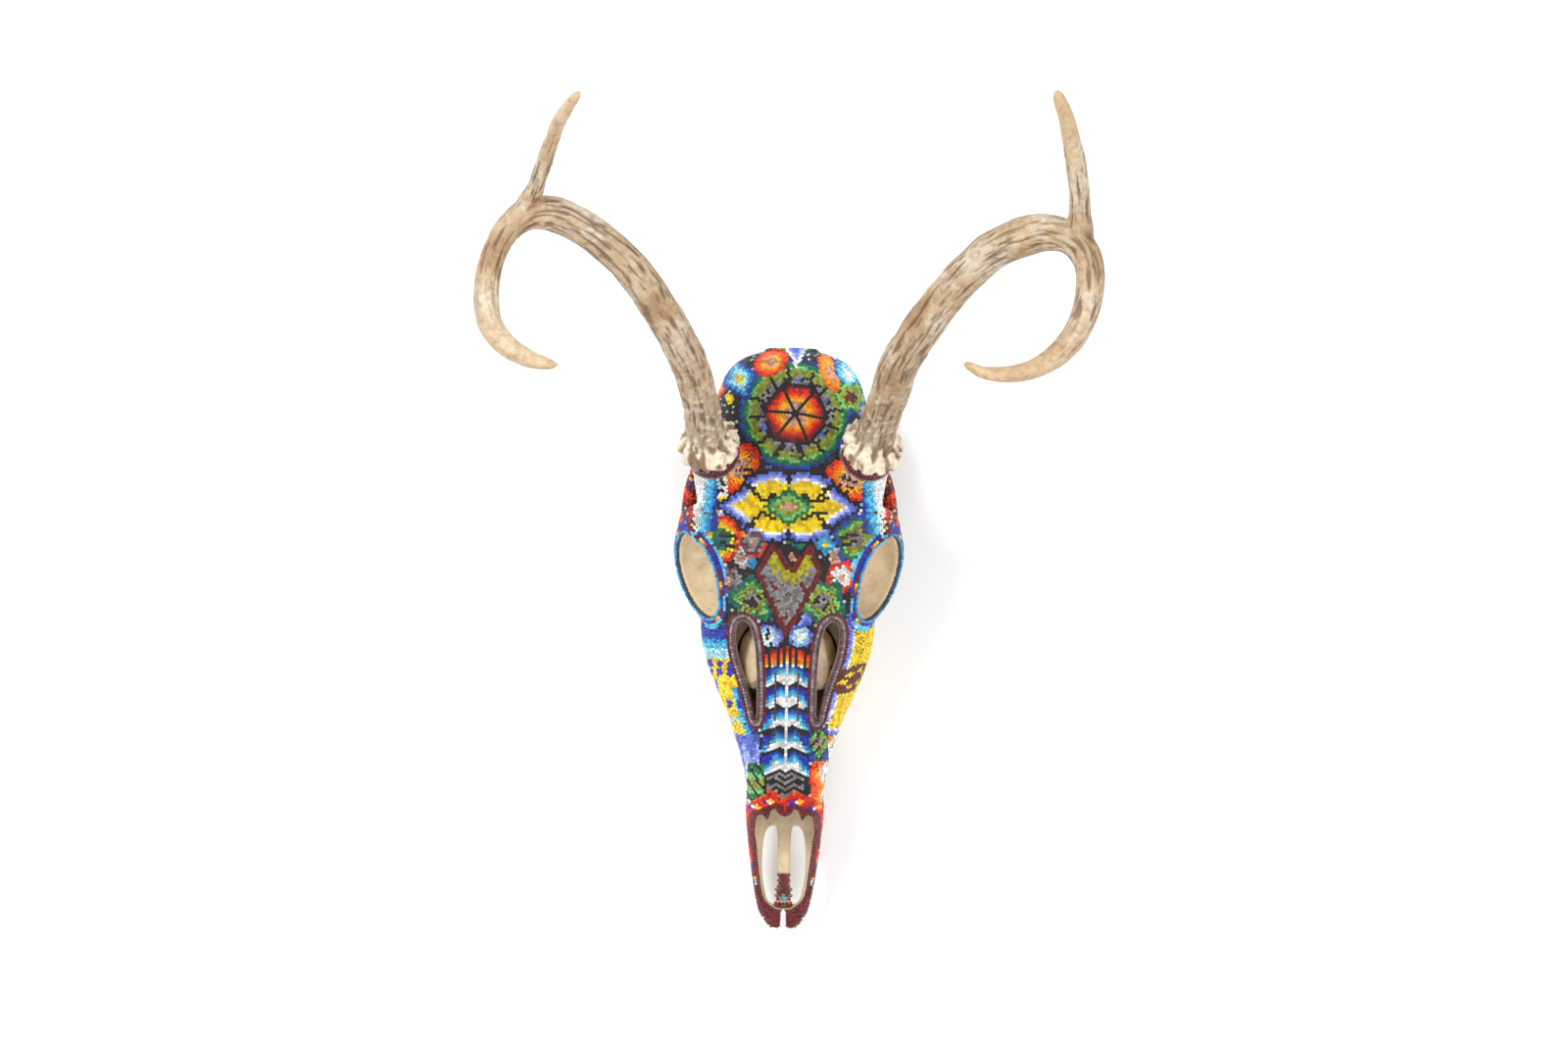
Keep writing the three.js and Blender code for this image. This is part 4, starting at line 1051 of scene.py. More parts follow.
class Beads:
    """Every bead's middle, its hole's direction and the direction of its row."""

    def __init__(self):
        self.count = 0
        self.at, self.up, self.along = (np.zeros((MOST, 3)) for _ in range(3))
        self.kind = np.zeros(MOST, int)
        self.ring = np.zeros(MOST, int)
        self.step = np.zeros(MOST, int)
        self.low = start - 3
        size = np.array([full_x[-1] - full_x[0], gy[-1] - gy[0], gz[-1] - gz[0]]) + 8
        self.cells = np.full(tuple((size / CELL).astype(int) + 6), -1, np.int32)
        reach = np.arange(-2, 3)
        self.near = np.stack(np.meshgrid(reach, reach, reach, indexing="ij"), -1).reshape(-1, 3)

    def cell_of(self, points):
        return np.clip(((points - self.low) / CELL).astype(int) + 2, 2,
                       np.array(self.cells.shape) - 3)

    def is_free(self, points):
        free = np.ones(len(points), bool)
        for first in range(0, len(points), 20000):
            part = points[first:first + 20000]
            cells = self.cell_of(part)[:, None] + self.near[None]
            found = self.cells[cells[..., 0], cells[..., 1], cells[..., 2]]
            gap = np.linalg.norm(self.at[found] - part[:, None], axis=-1)
            free[first:first + 20000] = ~((found >= 0) & (gap < CLOSEST)).any(1)
        return free

    def add(self, points, along, kind=0, ring=0, step=0):
        new = np.arange(self.count, self.count + len(points))
        self.count += len(points)
        normal, _ = slope(head_full, points)
        along = along - normal * (along * normal).sum(1)[:, None]
        self.at[new], self.up[new] = points, normal
        self.along[new] = along / np.maximum(np.linalg.norm(along, axis=1), 1e-6)[:, None]
        self.kind[new], self.ring[new], self.step[new] = kind, ring, step
        cell = self.cell_of(points)
        self.cells[tuple(cell.T)] = new
        return new

    def reindex(self):
        self.cells[:] = -1
        cell = self.cell_of(self.at[:self.count])
        self.cells[tuple(cell.T)] = np.arange(self.count)

    def lay_row(self, curve, kind, ring, closed=False):
        """A row of beads at an even pitch along a curve on the coat."""
        if closed:
            curve = np.vstack([curve, curve[:1]])
        walked = np.concatenate([[0], np.cumsum(np.linalg.norm(np.diff(curve, axis=0), axis=1))])
        number = max(int(round(walked[-1] / PITCH)), 1)
        places = np.linspace(0, walked[-1], number + 1)
        if closed:
            places = places[:-1]
        points = np.stack([np.interp(places, walked, curve[:, k]) for k in range(3)], -1)
        points = onto(head_full, points, BEAD_LIFT, 4)
        along = np.gradient(points, axis=0)
        ok = on_coat(points) & self.is_free(points)
        steps = np.arange(len(points))
        if ok.any():
            self.add(points[ok], along[ok], kind, ring, steps[ok])

    def grow(self, front, allowed=None):
        """Fills the coat around the given beads, each new bead beside an earlier one."""
        turn = np.arange(6) * math.pi / 3
        while len(front):
            p, n, d = self.at[front], self.up[front], self.along[front]
            side = np.cross(n, d)
            away = (np.cos(turn)[None, :, None] * d[:, None]
                    + np.sin(turn)[None, :, None] * side[:, None])
            new = (p[:, None] + away * PITCH).reshape(-1, 3)
            base = np.repeat(p, 6, axis=0)
            along = np.repeat(d, 6, axis=0)
            ok = self.is_free(new)
            new, base, along = new[ok], base[ok], along[ok]
            for _ in range(2):
                new = onto(head_full, new, BEAD_LIFT, 2)
                gap = new - base
                new = base + gap * (PITCH / np.maximum(np.linalg.norm(gap, axis=1), 0.1))[:, None]
            ok = on_coat(new) & self.is_free(new)
            ok &= np.abs(sample(head_full, new) - BEAD_LIFT) < 0.5
            if allowed is not None:
                ok &= allowed(new)
            new, along = new[ok], along[ok]
            alive = np.ones(len(new), bool)
            taken = []
            for i in range(len(new)):
                if not alive[i]:
                    continue
                gap = np.linalg.norm(new - new[i], axis=1)
                same = alive & (gap < 0.45 * PITCH)
                alive &= gap >= CLOSEST
                taken.append((new[same].mean(0), along[i]))
            if not taken:
                break
            front = self.add(np.array([t[0] for t in taken]), np.array([t[1] for t in taken]))

    def fill_gaps(self):
        """Puts a bead wherever the coat has room left for one."""
        points, _ = surface_net(head_full - BEAD_LIFT, start, STEP)
        points = onto(head_full, points, BEAD_LIFT, 1)
        points = points[on_coat(points)]
        points = points[self.is_free(points)]
        while len(points):
            chosen = points[:1]
            self.add(chosen, np.array([[1.0, 0.1, 0.0]]))
            points = points[np.linalg.norm(points - chosen, axis=1) >= CLOSEST]

    def relax(self, rounds, pull=0.0):
        """Evens out the gaps between neighbouring beads."""
        n = self.count
        links = None
        for round_number in range(rounds):
            at = self.at[:n]
            if round_number % 4 == 0:
                tree = kdtree.KDTree(n)
                for i, p in enumerate(at):
                    tree.insert(p, i)
                tree.balance()
                links = np.array([[f[1] for f in tree.find_n(p, 7)][1:] for p in at])
            gap = at[links] - at[:, None]
            size = np.linalg.norm(gap, axis=-1)
            push = np.where(size < PITCH, (size - PITCH) * PUSH,
                            np.where(size < LINK_REACH, (size - PITCH) * pull, 0))
            move = (gap / np.maximum(size, 0.2)[..., None] * push[..., None]).sum(1)
            move[self.kind[:n] > 0] *= ROW_HOLD
            new = onto(head_full, at + move, BEAD_LIFT, 1)
            ok = on_coat(new, 0.5) & (self.kind[:n] != BAR_ROW)
            self.at[:n][ok] = new[ok]
        loose = self.kind[:n] != BAR_ROW
        self.up[:n][loose] = slope(head_full, self.at[:n])[0][loose]
        self.reindex()


beads = Beads()
EYE_ROW, LEAF_ROW, STALK_ROW, NOSE_ROW, SPINE_ROW, BAR_ROW = 1, 2, 3, 4, 5, 6


def mirrored(curve, sign):
    return curve * np.array([sign, 1, 1])


ring_angle = np.linspace(0, 2 * math.pi, 240, endpoint=False)
EYE_ROWS = 6
for sign in (1, -1):
    for number in range(EYE_ROWS):
        tilt = math.radians(97) - number * ROW / (RIM_THICK + BEAD_LIFT)
        wide = (RIM_THICK + BEAD_LIFT) * math.cos(tilt) + RIM_THICK - 1
        curve = (EYE + np.outer((EYE_HALF_LENGTH + wide) * np.cos(ring_angle), EYE_LONG)
                 + np.outer((EYE_HALF_HEIGHT + wide) * np.sin(ring_angle), EYE_DOWN)
                 + EYE_OUT * (RIM_THICK + BEAD_LIFT) * math.sin(tilt))
        beads.lay_row(mirrored(curve, sign), EYE_ROW, number, closed=True)


def edge_curve(curve, reach):
    """Moves a curve to where it lies on the coat and keeps a distance from the openings."""
    for _ in range(8):
        curve = onto(holes_full, curve, reach, 1)
        curve = onto(head_full, curve, BEAD_LIFT, 1)
    return curve


def top_of(x, y):
    """Height of the coat above a place in plan."""
    column = np.stack([np.full(160, x), np.full(160, y), np.linspace(114, 10, 160)], -1)
    inside = np.where(sample(head_full, column) < BEAD_LIFT)[0]
    return column[inside[0], 2] if len(inside) else 40.0


for sign in (1, -1):
    for number in range(3):
        curve = np.array([[sign * x, y, top_of(sign * x, y)] for x, y in LEAF])
        curve = edge_curve(curve, 1.0 + number * ROW)
        beads.lay_row(curve, LEAF_ROW, number, closed=True)
    for number in range(4):
        middle = BURR_FOOT - BURR_AXIS * (1.7 + number * ROW)
        one = unit(np.cross(BURR_AXIS, [0, 1, 0]))
        two = np.cross(BURR_AXIS, one)
        curve = middle + 12.0 * (np.outer(np.cos(ring_angle), one) + np.outer(np.sin(ring_angle), two))
        beads.lay_row(mirrored(curve, sign), STALK_ROW, number, closed=True)
for sign in (1, -1):
    for number in range(2):
        y = np.linspace(50, 4, 60)
        x = np.interp(y, [4, 10, 25, 46, 50], [4, 9.5, 12.6, 15, 15.4]) + number * ROW
        curve = np.stack([sign * x, y, np.array([top_of(sign * a, b) for a, b in zip(x, y)])], -1)
        beads.lay_row(edge_curve(curve, 1.0 + number * ROW), NOSE_ROW, number)

# The bar between the two slots carries beads at its front end
for number, y in enumerate(np.arange(9.5, 26, ROW)):
    half = np.interp(y, [9, 12, 20, 26], [5.2, 4.2, 3.2, 2.6])
    x = np.arange(-8, 9) * PITCH + (number % 2) * PITCH / 2
    x = x[np.abs(x) <= half]
    bar = np.stack([x, np.full(len(x), y), np.full(len(x), 19.5)], -1)
    bar = onto(bone_full, bar, BEAD_LIFT - 0.6, 6)
    bar = bar[beads.is_free(bar) & (bar[:, 2] > 12)]
    if len(bar):
        made = beads.add(bar, np.tile([1.0, 0, 0], (len(bar), 1)), BAR_ROW, number)
        beads.up[made] = slope(bone_full, bar)[0]

ROSETTE = np.array([2.0, 253.0])
BROW_STAR = np.array([-0.5, 208.5])


def seed_bead(x, y, angle, allowed):
    at = onto(head_full, np.array([[x, y, top_of(x, y)]]), BEAD_LIFT)
    along = np.array([[math.cos(math.radians(angle)), math.sin(math.radians(angle)), 0.0]])
    beads.grow(beads.add(at, along), allowed)


seed_bead(*ROSETTE, -7, lambda p: np.hypot((p[:, 0] - ROSETTE[0]) / 17.5,
                                           (p[:, 1] - ROSETTE[1]) / 14.5) < 1)
seed_bead(*BROW_STAR, 0, lambda p: (np.abs(p[:, 0] - BROW_STAR[0]) / 35
                                    + np.abs(p[:, 1] - BROW_STAR[1]) / 18 < 1) & (p[:, 2] > 70))
spine = np.array([[0, y, top_of(0, y)] for y in np.arange(57, 136, 1.0)])
beads.lay_row(spine, SPINE_ROW, 0)
beads.grow(np.where(beads.kind[:beads.count] != BAR_ROW)[0])
beads.relax(14, 0.07)
beads.grow(np.arange(beads.count))
beads.relax(12, 0.03)
beads.grow(np.arange(beads.count))
beads.fill_gaps()
beads.relax(8, 0.0)

# ------------------------------------------------------------------ colours of the beads

PAINTS = {
    "black": (20, 20, 24), "yellow": (245, 205, 0), "periwinkle": (92, 110, 210),
    "lilac": (150, 165, 236), "white": (242, 238, 232), "green": (20, 116, 58),
    "mint": (120, 186, 104), "olive": (142, 150, 44), "teal": (0, 98, 112),
    "blue": (26, 62, 165), "royal": (36, 44, 172), "light_blue": (92, 192, 226),
    "turquoise": (44, 150, 205), "pale_blue": (170, 220, 236), "grey": (138, 133, 133),
    "silver": (190, 190, 186), "dark_red": (112, 22, 28), "red": (216, 34, 20),
    "orange_red": (240, 76, 10), "orange": (255, 120, 0), "amber": (255, 172, 20),
    "mauve": (104, 66, 76), "pink": (206, 152, 122), "khaki": (176, 170, 20),
    "brown": (96, 34, 18),
}
NAMES = list(PAINTS)
count = beads.count
X, Y, Z = beads.at[:count].T
UPWARD = beads.up[:count, 2]
SEEN = UPWARD > -0.15
paint = np.zeros(count, int)
kind, ring, step = beads.kind[:count], beads.ring[:count], beads.step[:count]
panel = which_zone(beads.at[:count], COAT_ZONES)
panel_name = np.array([zone[0] for zone in COAT_ZONES])[panel]
chance = rng.random(count)
to_opening = sample(holes_full, beads.at[:count])


def put(mask, name):
    paint[mask] = NAMES.index(name)


def bands(mask, value, *limits):
    """Colours the masked beads by the first limit that is above their value."""
    left = mask.copy()
    for limit, name in limits:
        here = left & (value < limit)
        put(here, name)
        left &= ~here


def shape(value, reach, *limits):
    """Colours the beads on top that lie inside the reach of a motif."""
    bands(SEEN & (value < reach), value, *limits)


def polar(cx, cy):
    return np.hypot(X - cx, Y - cy), np.degrees(np.arctan2(Y - cy, X - cx))


def turned(cx, cy, turn):
    c, s = math.cos(math.radians(turn)), math.sin(math.radians(turn))
    return (X - cx) * c + (Y - cy) * s, (Y - cy) * c - (X - cx) * s


def oval(cx, cy, rx, ry, turn=0.0):
    a, b = turned(cx, cy, turn)
    return np.hypot(a / rx, b / ry)


def diamond(cx, cy, rx, ry, turn=0.0):
    a, b = turned(cx, cy, turn)
    return np.abs(a) / rx + np.abs(b) / ry


def flower(cx, cy, radius, petals, depth, turn=0.0):
    away, angle = polar(cx, cy)
    return away / (radius * (1 + depth * np.cos(np.radians(petals * (angle - turn)))))


def line(*corners, width=0.85):
    """Beads that lie on a line through the corners."""
    near = np.full(count, 1e3)
    for (x0, y0), (x1, y1) in zip(corners, corners[1:]):
        ex, ey = x1 - x0, y1 - y0
        t = np.clip(((X - x0) * ex + (Y - y0) * ey) / (ex * ex + ey * ey + 1e-9), 0, 1)
        near = np.minimum(near, np.hypot(X - x0 - t * ex, Y - y0 - t * ey))
    return SEEN & (near < width)


def inside_of(outline):
    return -polygon_distance(X, Y, outline)


FIRE = ((0.36, "pink"), (0.5, "amber"), (0.68, "orange"), (0.86, "orange_red"), (1.0, "red"))
LEAFY = ((0.34, "grey"), (0.6, "olive"), (0.76, "mint"), (0.9, "green"), (1.04, "teal"))
SKY = ((0.3, "white"), (0.52, "pale_blue"), (0.72, "light_blue"), (0.88, "turquoise"),
       (1.04, "blue"))
LILAC = ((0.45, "white"), (0.72, "lilac"), (1.0, "periwinkle"))
SUN = ((0.3, "brown"), (0.62, "yellow"), (0.78, "white"), (0.9, "lilac"), (1.0, "periwinkle"))

# Ground of black beads with single silver ones, and round motifs all over it
put(np.ones(count, bool), "black")
put(chance < 0.09, "silver")
nearest_centre = np.full(count, 1e3)
motif = np.zeros(count, int)
pick = int(np.argmax(-Y - 0.2 * np.abs(X)))
MOTIFS = 54
for number in range(MOTIFS):
    away = np.linalg.norm(beads.at[:count] - beads.at[pick], axis=1)
    closer = away < nearest_centre
    nearest_centre[closer] = away[closer]
    motif[closer] = number
    pick = int(np.argmax(nearest_centre))
size_of = rng.uniform(8.2, 10.5, MOTIFS)
rng.uniform(0, 60, MOTIFS)  # not used, but the later draws depend on it
sets = (FIRE, LEAFY, SKY, LILAC, SUN)
for number in range(MOTIFS):
    mine = motif == number
    bands(mine, nearest_centre / size_of[number], *sets[number % len(sets)])

# Crown: a red rosette with black spokes, and a green ring of leaves round it
ROSETTE_TURN = -7
away, angle = polar(*ROSETTE)
crown = SEEN & (Y > 222) & (away < 40)
slice_angle = (angle - ROSETTE_TURN) % 60 - 30
apothem = away * np.cos(np.radians(slice_angle))
leaf_reach = apothem - 13.6 + 3.2 * (slice_angle / 30) ** 2
bands(crown & (leaf_reach < 14), leaf_reach, (4.6, "grey"), (8.0, "olive"), (9.4, "mint"),
      (10.8, "green"), (11.8, "teal"), (13.0, "blue"), (14.0, "black"))
side_line = np.abs(away * np.sin(np.radians(np.abs(slice_angle) - 17)))
put(crown & (side_line < 0.8) & (leaf_reach < 9) & (leaf_reach > 1.5), "black")
put(crown & (np.abs(away * np.sin(np.radians(slice_angle))) < 0.9) & (np.abs(leaf_reach - 3) < 1),
    "periwinkle")
put(crown & (leaf_reach > 0) & (leaf_reach < 5) & (chance < 0.22), "black")
bands(crown & (apothem < 14.4), apothem, (5.6, "pink"), (7.2, "amber"),
      (8.8, "orange"), (10.2, "orange_red"), (11.8, "red"), (13.4, "dark_red"), (14.6, "black"))
from_spoke = away * np.abs(np.sin(np.radians(30 - np.abs(slice_angle))))
put(crown & (apothem < 14.4) & (from_spoke < np.where(away < 5, 0.45, 0.8)), "black")
put(crown & (away < 1.0), "black")

# Back of the crown
bands(SEEN & (diamond(-25, 270, 9, 12, 20) < 1), diamond(-25, 270, 9, 12, 20), (0.25, "yellow"),
      (0.55, "pale_blue"), (0.8, "turquoise"), (1.0, "blue"))
fire = oval(-10, 278, 9, 6.5, 30)
bands(Z > 40, np.where(fire < 1, fire, 9), *FIRE)
wedge = inside_of([[-5.5, 289], [9, 289], [2.2, 275.5]])
bands((Z > 45) & (wedge > 0), wedge, (1.4, "white"), (2.8, "lilac"), (9, "periwinkle"))
fire = oval(18.5, 273.5, 4.6, 10, 25)
shape(fire, 1, (0.45, "pink"), (0.75, "amber"), (1.0, "orange"))
blue = oval(27, 273, 5.5, 10, 30)
shape(blue, 1, *SKY)
green = flower(28.5, 262, 7, 6, 0.15)
shape(green, 1, (0.4, "brown"), (0.7, "olive"), (0.9, "mint"), (1.0, "green"))
put(SEEN & (oval(-29.5, 260, 2.2, 2.6) < 1), "yellow")

# Flowers in front of the antlers
for cx, cy, rx, ry, turn in ((-24, 226.5, 12.5, 8.2, 62), (28.5, 221.5, 12, 8.6, -35)):
    fire = oval(cx, cy, rx, ry, turn)
    shape(fire, 1.12, (0.42, "pink"), (0.56, "amber"), (0.74, "orange"),
          (0.9, "orange_red"), (1.02, "red"), (1.12, "black"))
    put(SEEN & (fire < 0.4) & (chance < 0.25), "black")
    for shift in (-1.7, 1.7):
        a = math.radians(turn + 90)
        ox, oy = cx - 4 * math.cos(a) + shift * math.sin(a), cy - 4 * math.sin(a) - shift * math.cos(a)
        put(line((ox, oy), (ox - 6 * math.cos(a), oy - 6 * math.sin(a)), width=0.75), "black")
figure = SEEN & (np.abs(X + 33.2) < 3.1) & (np.abs(Y - 218.6) < 5.6)
put(figure, "white")
put(line((-35.4, 222.5), (-32.5, 222.5), (-32.5, 219), (-31, 219), width=0.7) & figure, "black")
put(line((-35, 216), (-32, 216), (-32, 214.5), width=0.7) & figure, "black")

# Forehead: a long star with a green diamond in its middle
OX, OY = BROW_STAR


def star(points):
    """Outline of the star, from its upper right quarter."""
    quarter = np.array(points, float)
    left = quarter[::-1] * [-1, 1]
    return np.vstack([quarter, left, -quarter, -left]) + BROW_STAR


STAR = star([[33.5, 0], [22.4, 7.6], [21.6, 10.6], [18.6, 13.4], [12.4, 15.6], [5.8, 16.6], [1, 15]])
outer = inside_of(STAR)
star_beads = SEEN & (outer > -1.5) & (Z > 62)
ARM_START, ARM_RUN = (12, 2.4), (9.5, 8.1)
arm = np.full(count, 1e3)
for sx in (1, -1):
    for sy in (1, -1):
        ax, ay = OX + sx * ARM_START[0], OY + sy * ARM_START[1]
        ex, ey = sx * ARM_RUN[0], sy * ARM_RUN[1]
        t = np.clip(((X - ax) * ex + (Y - ay) * ey) / (ex * ex + ey * ey + 1e-9), 0, 1)
        arm = np.minimum(arm, np.hypot(X - ax - t * ex, Y - ay - t * ey) + 9.0 * (1 - t))
put(star_beads & (outer < 0), "black")
bands(star_beads & (outer >= 0), np.minimum(outer, arm + 1.5), (1.7, "periwinkle"), (2.9, "lilac"),
      (4.1, "white"), (99, "yellow"))
core = diamond(OX, OY, 12.6, 9.2)
bands(star_beads & (core < 1), core, (0.3, "pink"), (0.52, "olive"), (0.76, "mint"), (1.0, "green"))
for sx in (1, -1):
    for sy in (1, -1):
        p = [(OX + sx * x, OY + sy * y) for x, y in ((21.5, 10.8), (12, 2.6), (7, 5.6), (16, 8.6))]
        put(star_beads & line(*p[:3]), "black")
        put(star_beads & line(p[0], p[3]), "black")
    put(star_beads & line((OX, OY + sx * 11), (OX, OY + sx * 16)), "black")
put(star_beads & line((15, 211.8), (17.6, 213)), "black")
put(star_beads & line((15, 206.2), (17.6, 205.2)), "black")

# Motifs between the star and the eye rims
sun = oval(-32.5, 192.5, 9.5, 11.5, 10)
shape(sun, 1, (0.3, "teal"), (0.5, "green"), (0.68, "yellow"), (0.84, "orange"),
      (1.0, "red"))
for level in (194.6, 190.6):
    put(line((-33, level), (-25, level - 1), width=0.8), "black")
green = flower(32.5, 193.5, 9.6, 5, 0.12, 20)
shape(green, 1.15, (0.34, "grey"), (0.68, "olive"), (0.84, "mint"),
      (1.0, "green"), (1.15, "blue"))
for level in (195.5, 192.0):
    put(line((32, level), (25, level - 1), width=0.8), "black")
for cx, cy, r in ((-17.2, 191.2, 5.6), (-28.8, 172.5, 6.4)):
    value = flower(cx, cy, r, 6, 0.1)
    shape(value, 1, (0.25, "pink"), (0.5, "grey"), (0.66, "mauve"), (0.85, "grey"),
          (1.0, "mauve"))
value = diamond(17.3, 191, 5.6, 5.6)
shape(value, 1, (0.3, "yellow"), (0.62, "light_blue"), (1.0, "turquoise"))
value = diamond(-17.4, 181.4, 3.4, 3.2)
put(SEEN & (value < 1), "turquoise")
for cx, cy in ((-23, 184), (21.7, 184.5)):
    value = oval(cx, cy, 2.9, 4.6)
    shape(value, 1.0, (0.62, "pink"), (1.0, "silver"))
value = flower(25.4, 175.5, 7.2, 5, 0.1)
shape(value, 1, (0.22, "pink"), (0.68, "white"), (0.86, "orange_red"), (1.0, "red"))

# A deer's head on the forehead
SHIELD = [[-8, 192.5], [-15.8, 176], [-1, 144.5], [16, 176.5], [10.5, 192], [1.4, 179.6]]
shield = inside_of(SHIELD)
ears = np.minimum(*(np.abs(v) for v in (
    polygon_distance(X, Y, [[-8, 192.5], [1.4, 179.6], [1.3, 179.5]]),
    polygon_distance(X, Y, [[10.5, 192], [1.4, 179.6], [1.5, 179.5]]))))
in_shield = SEEN & (shield > 0)
put(SEEN & (shield > -1.5) & (shield <= 0), "black")
put(in_shield, "grey")
notch_wave = 0.9 * np.sign(np.sin(X * 1.6 + Y * 0.5))
put(in_shield & (ears < 7.2 + notch_wave), "khaki")
put(in_shield & (shield < 2.5), "dark_red")
for corners in (((-7.6, 171.6), (-6.4, 169.4)), ((7.4, 169), (6.2, 171.0))):
    put(line(*corners, width=0.9), "dark_red")
put(SEEN & (diamond(-1.3, 155.4, 1.9, 1.9) < 1), "dark_red")
put(SEEN & (oval(1.3, 184.4, 2, 2) < 1), "pink")

# Round flowers above the nose
for cx, cy, r in ((-9.4, 145.4, 6.7), (6.2, 146, 5.8)):
    away, _ = polar(cx, cy)
    bands(SEEN & (away < r) & (shield < 0), away / r, (0.4, "white"), (0.66, "pale_blue"),
          (0.84, "lilac"), (1.0, "periwinkle"))
put(line((-9.6, 149.5), (-9.6, 145.5), width=0.7), "black")
put(line((-7.6, 144), (-7.6, 140.5), width=0.7), "black")
for cx, cy, turn in ((-17.2, 163.4, 25), (16.6, 163.4, -25)):
    value = flower(cx, cy, 10.6, 5, 0.16, turn)
    bands(SEEN & (value < 1) & (shield < -0.4), value, (0.34, "grey"), (0.56, "olive"),
          (0.74, "mint"), (0.9, "green"), (1.0, "teal"))
    put(SEEN & (value < 0.36) & (chance < 0.5) & (shield < -0.4), "black")

# The ridge of the nose: a fringe, then blue and white bands with black chevrons
HALF_BRIDGE = 11.6
on_bridge = SEEN & (np.abs(X) < HALF_BRIDGE) & (Y > 66) & (Y < 141.5)
put(on_bridge, "black")
ACROSS_X = np.abs(X)
bend = np.interp(ACROSS_X, [0, 3.4, 11.6], [-0.9, 0.9, -2.6])
CHEVRONS = (121.8, 111.3, 100.2, 89.4, 79.2)
BAND = 10.7
rise = (Y - bend - CHEVRONS[-1]) / BAND
above = (rise % 1.0) + np.clip(ACROSS_X - 5.5, 0, 9) / 6 * 0.42
on_bands = on_bridge & (rise > -0.06) & (Y < 132.8 + 0.6 * bend)
bands(on_bands, above, (0.44, "white"), (0.6, "light_blue"), (0.76, "turquoise"), (0.92, "blue"),
      (9, "royal"))
put(on_bands & (np.abs((rise + 0.5) % 1.0 - 0.5) < 0.1), "black")
for column in range(-3, 4):
    on_column = on_bridge & (np.abs(X - column * 3.3) < 0.9) & (Y >= 131)
    bands(on_column, 141.2 - abs(column) * 1.2 - Y, (0, "black"), (1.7, "red"), (3.4, "orange_red"),
          (5.0, "orange"), (6.6, "amber"), (8.2, "white"))
put(on_bridge & (kind == SPINE_ROW) & (Y > 79) & (Y < 134), "white")
rows = (Y - bend * 1.3 - 60) / (ROW * 2)
low_rows = on_bridge & (rise <= -0.06)
put(low_rows & (rows % 1.0 < 0.5), "grey")
put(low_rows & (ACROSS_X > 9.6), "black")

# Cheeks
left, right = X < 0, X > 0
cheek = (panel_name == "coat_cheek") & (ACROSS_X > 12.6)
LEAF_SIDE = np.interp(Y, [90, 104, 122, 136, 150, 160], [11.6, 17, 22.5, 27, 29, 29])
side_way = ACROSS_X - LEAF_SIDE
wide_cheek = (ACROSS_X > LEAF_SIDE - 1) & (Z > 20) & (kind == 0) & (panel_name != "coat_eye_rim")
yellow_part = wide_cheek & left & (Y > 97) & (Y < 137)
put(yellow_part, "yellow")
bands(yellow_part & (Y < 120), side_way, (2.2, "blue"), (3.8, "turquoise"), (5.2, "light_blue"))
bands(wide_cheek & left & (Y >= 134) & (Y < 150), -Y + 150, (3, "royal"), (6, "blue"), (8.6, "turquoise"),
      (11, "light_blue"), (16, "pale_blue"))
for level in (131.5, 127.5, 112):
    put(yellow_part & (np.abs(Y - level) < 1.7) & (np.abs((ACROSS_X % 5) - 2.5) < 1.4), "royal")
put(yellow_part & (Y > 116.5) & (Y < 124) & (np.abs(Z - 40 - (Y - 120)) < 2.2), "periwinkle")
put(yellow_part & (np.abs(Y - 104) < 1.6) & (chance < 0.6), "light_blue")
lower_left = cheek & left & (Y <= 97) & (Y > 56)
fade = (Y - 66) / 31 + 0.12 * np.sin(Z * 0.5)
bands(lower_left, -fade, (-0.75, "periwinkle"), (-0.45, "lilac"), (9, "white"))
put(lower_left & (np.abs(Z - 41) < 0.8) & (Y % 9 < 5), "black")
patch = SEEN & left & (np.abs(X + 14.6) < 3.9) & (Y > 64.5) & (Y < 83)
bands(patch, Y, (68, "green"), (70.5, "mint"), (75, "olive"), (78, "mint"), (83, "green"))
put(patch & (np.abs((X * 0.8 + Y * 0.6) % 4.2) < 1.2), "black")

yellow_part = wide_cheek & right & (Y > 97) & (Y < 158)
border = np.minimum(side_way - 0.6, np.minimum(Y - 97, 157 - Y - 0.25 * (ACROSS_X - 30)))
bands(yellow_part, border, (1.4, "periwinkle"), (2.6, "lilac"), (3.6, "white"), (99, "yellow"))
hexagon = np.hypot((Y - 125.5), (Z - 48) * 0.8 + (X - 35.5) * 0.5)
bands(yellow_part & (hexagon < 7.6), hexagon, (7.6, "brown"))
for number in range(6):
    a = math.radians(number * 60)
    dot = np.hypot(Y - 125.5 - 4.2 * math.cos(a), ((Z - 48) * 0.8 + (X - 35.5) * 0.5) - 4.2 * math.sin(a))
    put(yellow_part & (dot < 1.25), "yellow")
lower_right = cheek & right & (Y <= 97) & (Y > 56)
fade = ACROSS_X - np.interp(Y, [60, 78, 97], [14.5, 12.6, 18.5]) + 1.2 * np.sin(Y * 0.5)
bands(lower_right, fade, (1.5, "orange_red"), (3.2, "orange"), (4.4, "amber"), (99, "white"))
put(lower_right & (np.abs(Z - 40) < 0.8) & (Y % 9 < 5), "black")
patch = SEEN & right & (np.abs(X - 16) < 4.6) & (np.abs(Y - 93) < 8.5)
bands(patch, diamond(16, 94, 6.5, 10), (0.35, "grey"), (0.62, "olive"), (0.8, "mint"), (0.95, "green"),
      (9, "blue"))
put(patch & (np.abs((X - Y * 0.7) % 4.4) < 1.0), "black")

